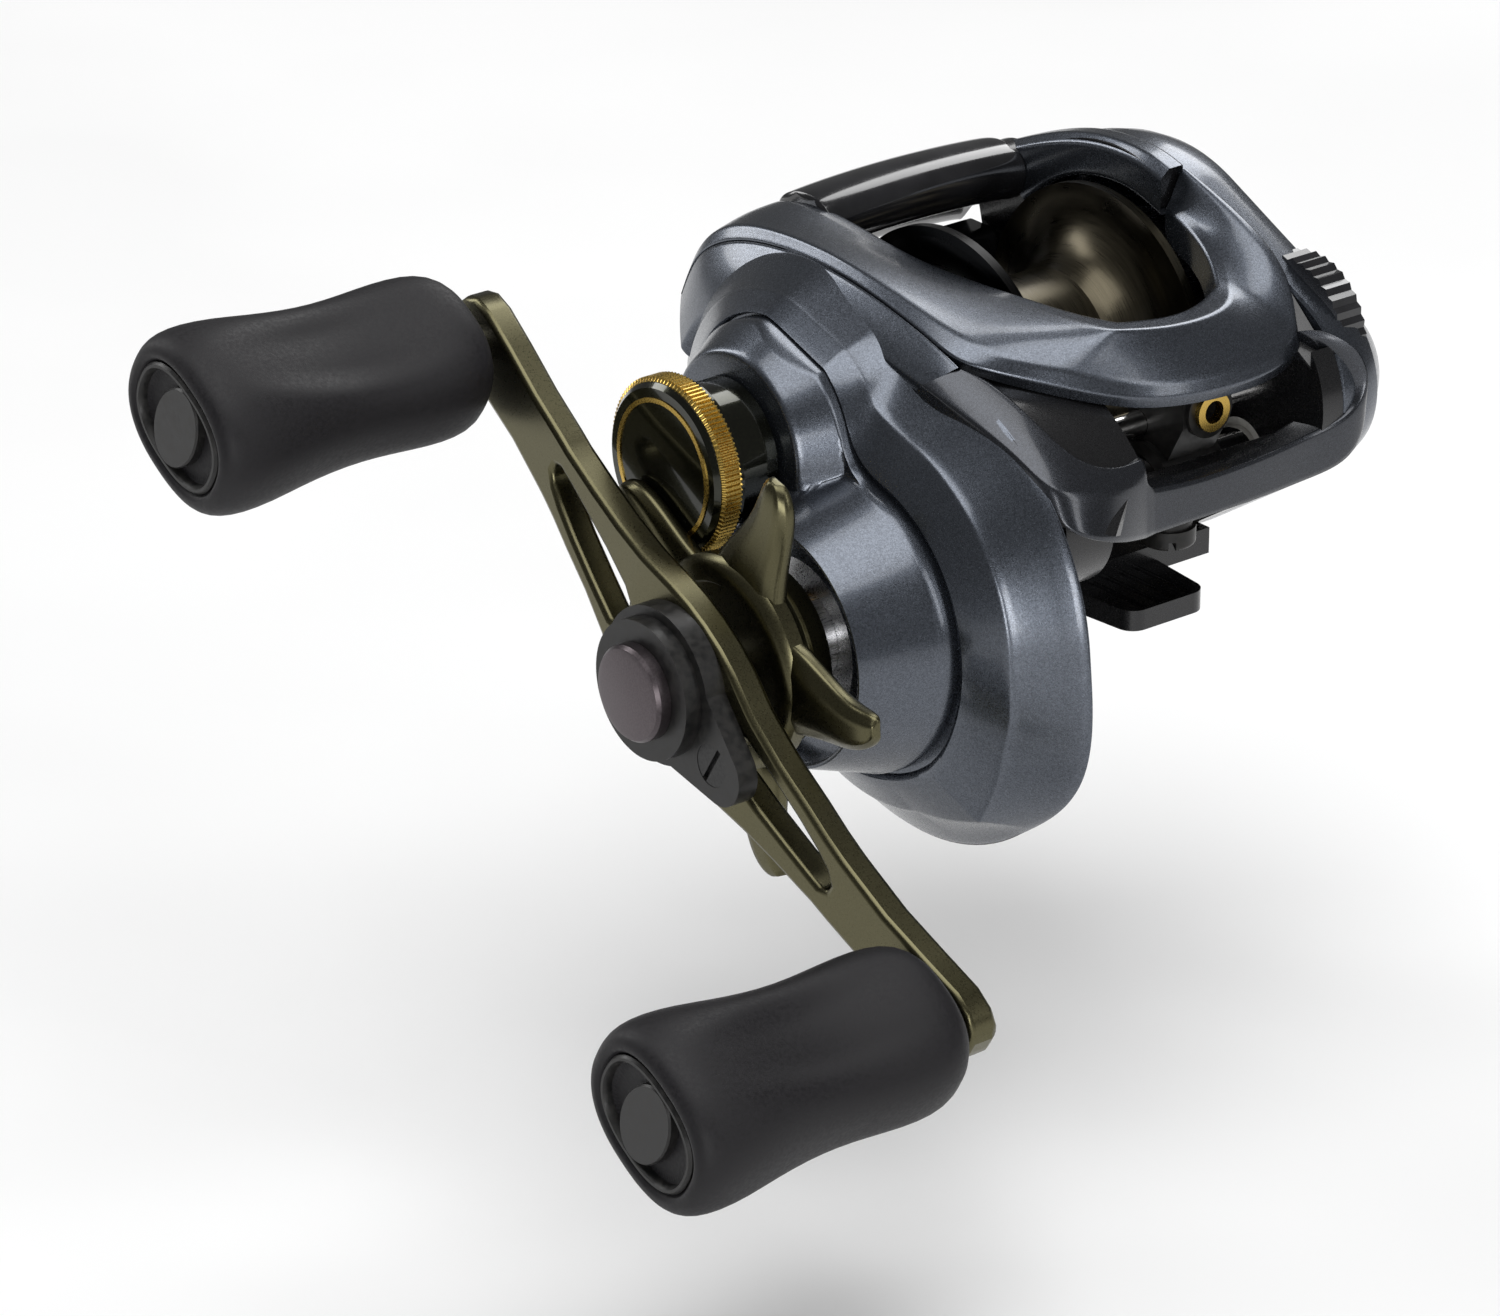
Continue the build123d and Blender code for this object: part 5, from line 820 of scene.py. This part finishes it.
def make_arm():
    """Double handle arm, the same turned half a turn, with a window in each half and bevelled edges."""
    turned = [(-u, -high, -low, None if b is None else -b, None if a is None else -a)
              for u, low, high, a, b in ARM[-2::-1]]
    stations = list(ARM) + turned
    points = []
    for u, low, high, a, b in stations:
        if a is None:
            a, b = (low + share * (high - low) for share in ARM_SPLIT)
        face = ARM_FACE - ARM_FALL * max(abs(u) - ARM_FLAT, 0.0) / (ARM_LENGTH - ARM_FLAT)
        for x in (face, face - ARM_THICK):
            points += [arm_point(x, u, across) for across in (low, a, b, high)]

    # Each station has eight points: four across the face, then four across the back
    faces = []
    last = len(stations) - 1
    opened = [station[3] is not None for station in stations]
    for k in range(last):
        p, q = 8 * k, 8 * (k + 1)
        window = opened[k] and opened[k + 1]
        for c in (0, 1, 2):
            if not (window and c == 1):
                faces.append((p + c, p + c + 1, q + c + 1, q + c))
                faces.append((p + 4 + c, q + 4 + c, q + 5 + c, p + 5 + c))
        for c in (0, 3) + ((1, 2) if window else ()):
            faces.append((p + c, q + c, q + 4 + c, p + 4 + c))
    for k in range(last + 1):
        before = k > 0 and opened[k - 1] and opened[k]
        after = k < last and opened[k] and opened[k + 1]
        if before != after:
            faces.append((8 * k + 1, 8 * k + 2, 8 * k + 6, 8 * k + 5))
    for k in (0, last):
        faces += [(8 * k + c, 8 * k + c + 1, 8 * k + c + 5, 8 * k + c + 4) for c in (0, 1, 2)]
    piece = add_mesh("arm_skin", points, faces, OLIVE, "drive_group", ("handle_arm",), sharp=35.0)
    soften(face_out(piece), *ARM_EDGE)


make_arm()


# Round cap of the handle nut over the retainer: profile (x, radius)
NUT_CAP = (
    (57.5, 2.6), (57.5, 4.0), (61.6, 4.4), (61.75, 5.1), (63.0, 5.1), (63.4, 4.8), (63.55, 4.2),
    (63.6, 0.02), (61.0, 0.02), (61.0, 2.6),
)
add_turned("nut_cap", NUT_CAP, NUT, "drive_group", ("handle_nut",), segments=96)


# Grip ring of the tension knob: number of ridges, radii of ridge and groove, edge radius, wall and heights x
RIDGES = 110
RIDGE_TOP, RIDGE_FOOT = 9.55, 9.3
GRIP_EDGE, GRIP_WALL = 9.05, 0.5
GRIP_X = (45.3, 45.55, 47.55, 47.8)

# Points of one ridge and the groove beside it, half of them on the ridge
RIDGE_POINTS = 4


def make_grip():
    """Gold ring with straight ridges and bevelled edges."""
    count = RIDGE_POINTS * RIDGES
    angle = around(count)
    ridged = np.where(np.arange(count) % RIDGE_POINTS < RIDGE_POINTS // 2, RIDGE_TOP, RIDGE_FOOT)
    low, ridge_low, ridge_high, high = GRIP_X
    section = ((low, GRIP_EDGE - GRIP_WALL), (low, GRIP_EDGE), (ridge_low, ridged), (ridge_high, ridged),
               (high, GRIP_EDGE), (high, GRIP_EDGE - GRIP_WALL))
    points = np.concatenate([ring(x, angle, radius, SPOOL) for x, radius in section])
    faces = grid_faces(len(section), count, close_rows=True, close_columns=True)
    face_out(add_mesh("grip_ring", points, faces, GOLD, "tension_group", ("tension_grip",), sharp=20.0))


make_grip()


# Finishes of the solids that show as they are
slots = {entry["node"]: entry["material_slot"] for entry in frame["record"]["subparts"]}
for name, solid in frame["nodes"].items():
    solid.data.materials.clear()
    solid.data.materials.append(BY_NODE.get(name) or BY_SLOT[slots[name]])


# Floor: distance under the lowest place of a knob's axis, and half size, in millimetres
FLOOR_DROP, FLOOR_HALF = 11.5, 3000.0


def make_floor():
    """Plain pale floor, low enough for the knobs to pass when the handle turns."""
    low = DRIVE[1] - ARM_LENGTH - FLOOR_DROP
    mesh = bpy.data.meshes.new("floor")
    corners = [(a * FLOOR_HALF, b * FLOOR_HALF, low) for a, b in ((-1, -1), (1, -1), (1, 1), (-1, 1))]
    mesh.from_pydata([tuple(c * MM for c in p) for p in corners], [], [(0, 1, 2, 3)])
    floor = bpy.data.objects.new("floor", mesh)
    bpy.context.scene.collection.objects.link(floor)
    finish = surface("pale_floor", "nylon", (0.90, 0.90, 0.90), (0.93, 0.93, 0.93),
                     metallic=0.0, rough=(0.6, 0.7), grain=8.0)
    mesh.materials.append(finish)


make_floor()


# Soft lamps: name, place, size and power; all in metres and watts, aimed at one point
LAMP_AIM = (0.03, 0.01, 0.01)
LAMPS = (
    ("top_box", (0.10, 0.15, 0.80), (0.70, 0.70), 5.2),
    ("back_box", (-0.60, -0.35, 0.60), (0.30, 0.60), 2.8),
    ("left_strip", (0.32, -0.72, 0.46), (0.20, 0.70), 2.8),
    ("right_strip", (-0.25, 0.75, 0.40), (0.18, 0.60), 1.2),
    ("low_front", (0.55, 0.76, 0.12), (0.22, 0.36), 2.2),
)
WORLD_STRENGTH = 0.13

# Camera: place and target in metres, sensor width in millimetres, focal length and picture width in pixels
CAMERA_PLACE = (0.440563, 0.507602, 0.289053)
CAMERA_TARGET = (0.04338, 0.008, 0.002293)
SENSOR_WIDTH = 36.0
FOCAL_PIXELS, PICTURE_PIXELS = 6817.0, 1500.0


def add_aimed(name, data, place, aim):
    """Lamp or camera at a place, turned to a point."""
    holder = bpy.data.objects.new(name, data)
    holder.location = place
    holder.rotation_euler = (Vector(aim) - Vector(place)).to_track_quat("-Z", "Y").to_euler()
    bpy.context.scene.collection.objects.link(holder)
    return holder


for name, place, size, power in LAMPS:
    lamp = bpy.data.lights.new(name, "AREA")
    lamp.shape = "RECTANGLE"
    lamp.size, lamp.size_y = size
    lamp.energy = power
    add_aimed(name, lamp, place, LAMP_AIM)

world = bpy.data.worlds.new("studio")
world.use_nodes = True
background = world.node_tree.nodes["Background"]
background.inputs["Color"].default_value = (1.0, 1.0, 1.0, 1.0)
background.inputs["Strength"].default_value = WORLD_STRENGTH
bpy.context.scene.world = world

camera_data = bpy.data.cameras.new("camera")
camera_data.sensor_width = SENSOR_WIDTH
camera_data.sensor_fit = "HORIZONTAL"
camera_data.lens = SENSOR_WIDTH * FOCAL_PIXELS / PICTURE_PIXELS
bpy.context.scene.camera = add_aimed("camera", camera_data, CAMERA_PLACE, CAMERA_TARGET)
bpy.context.scene.view_settings.view_transform = "Standard"
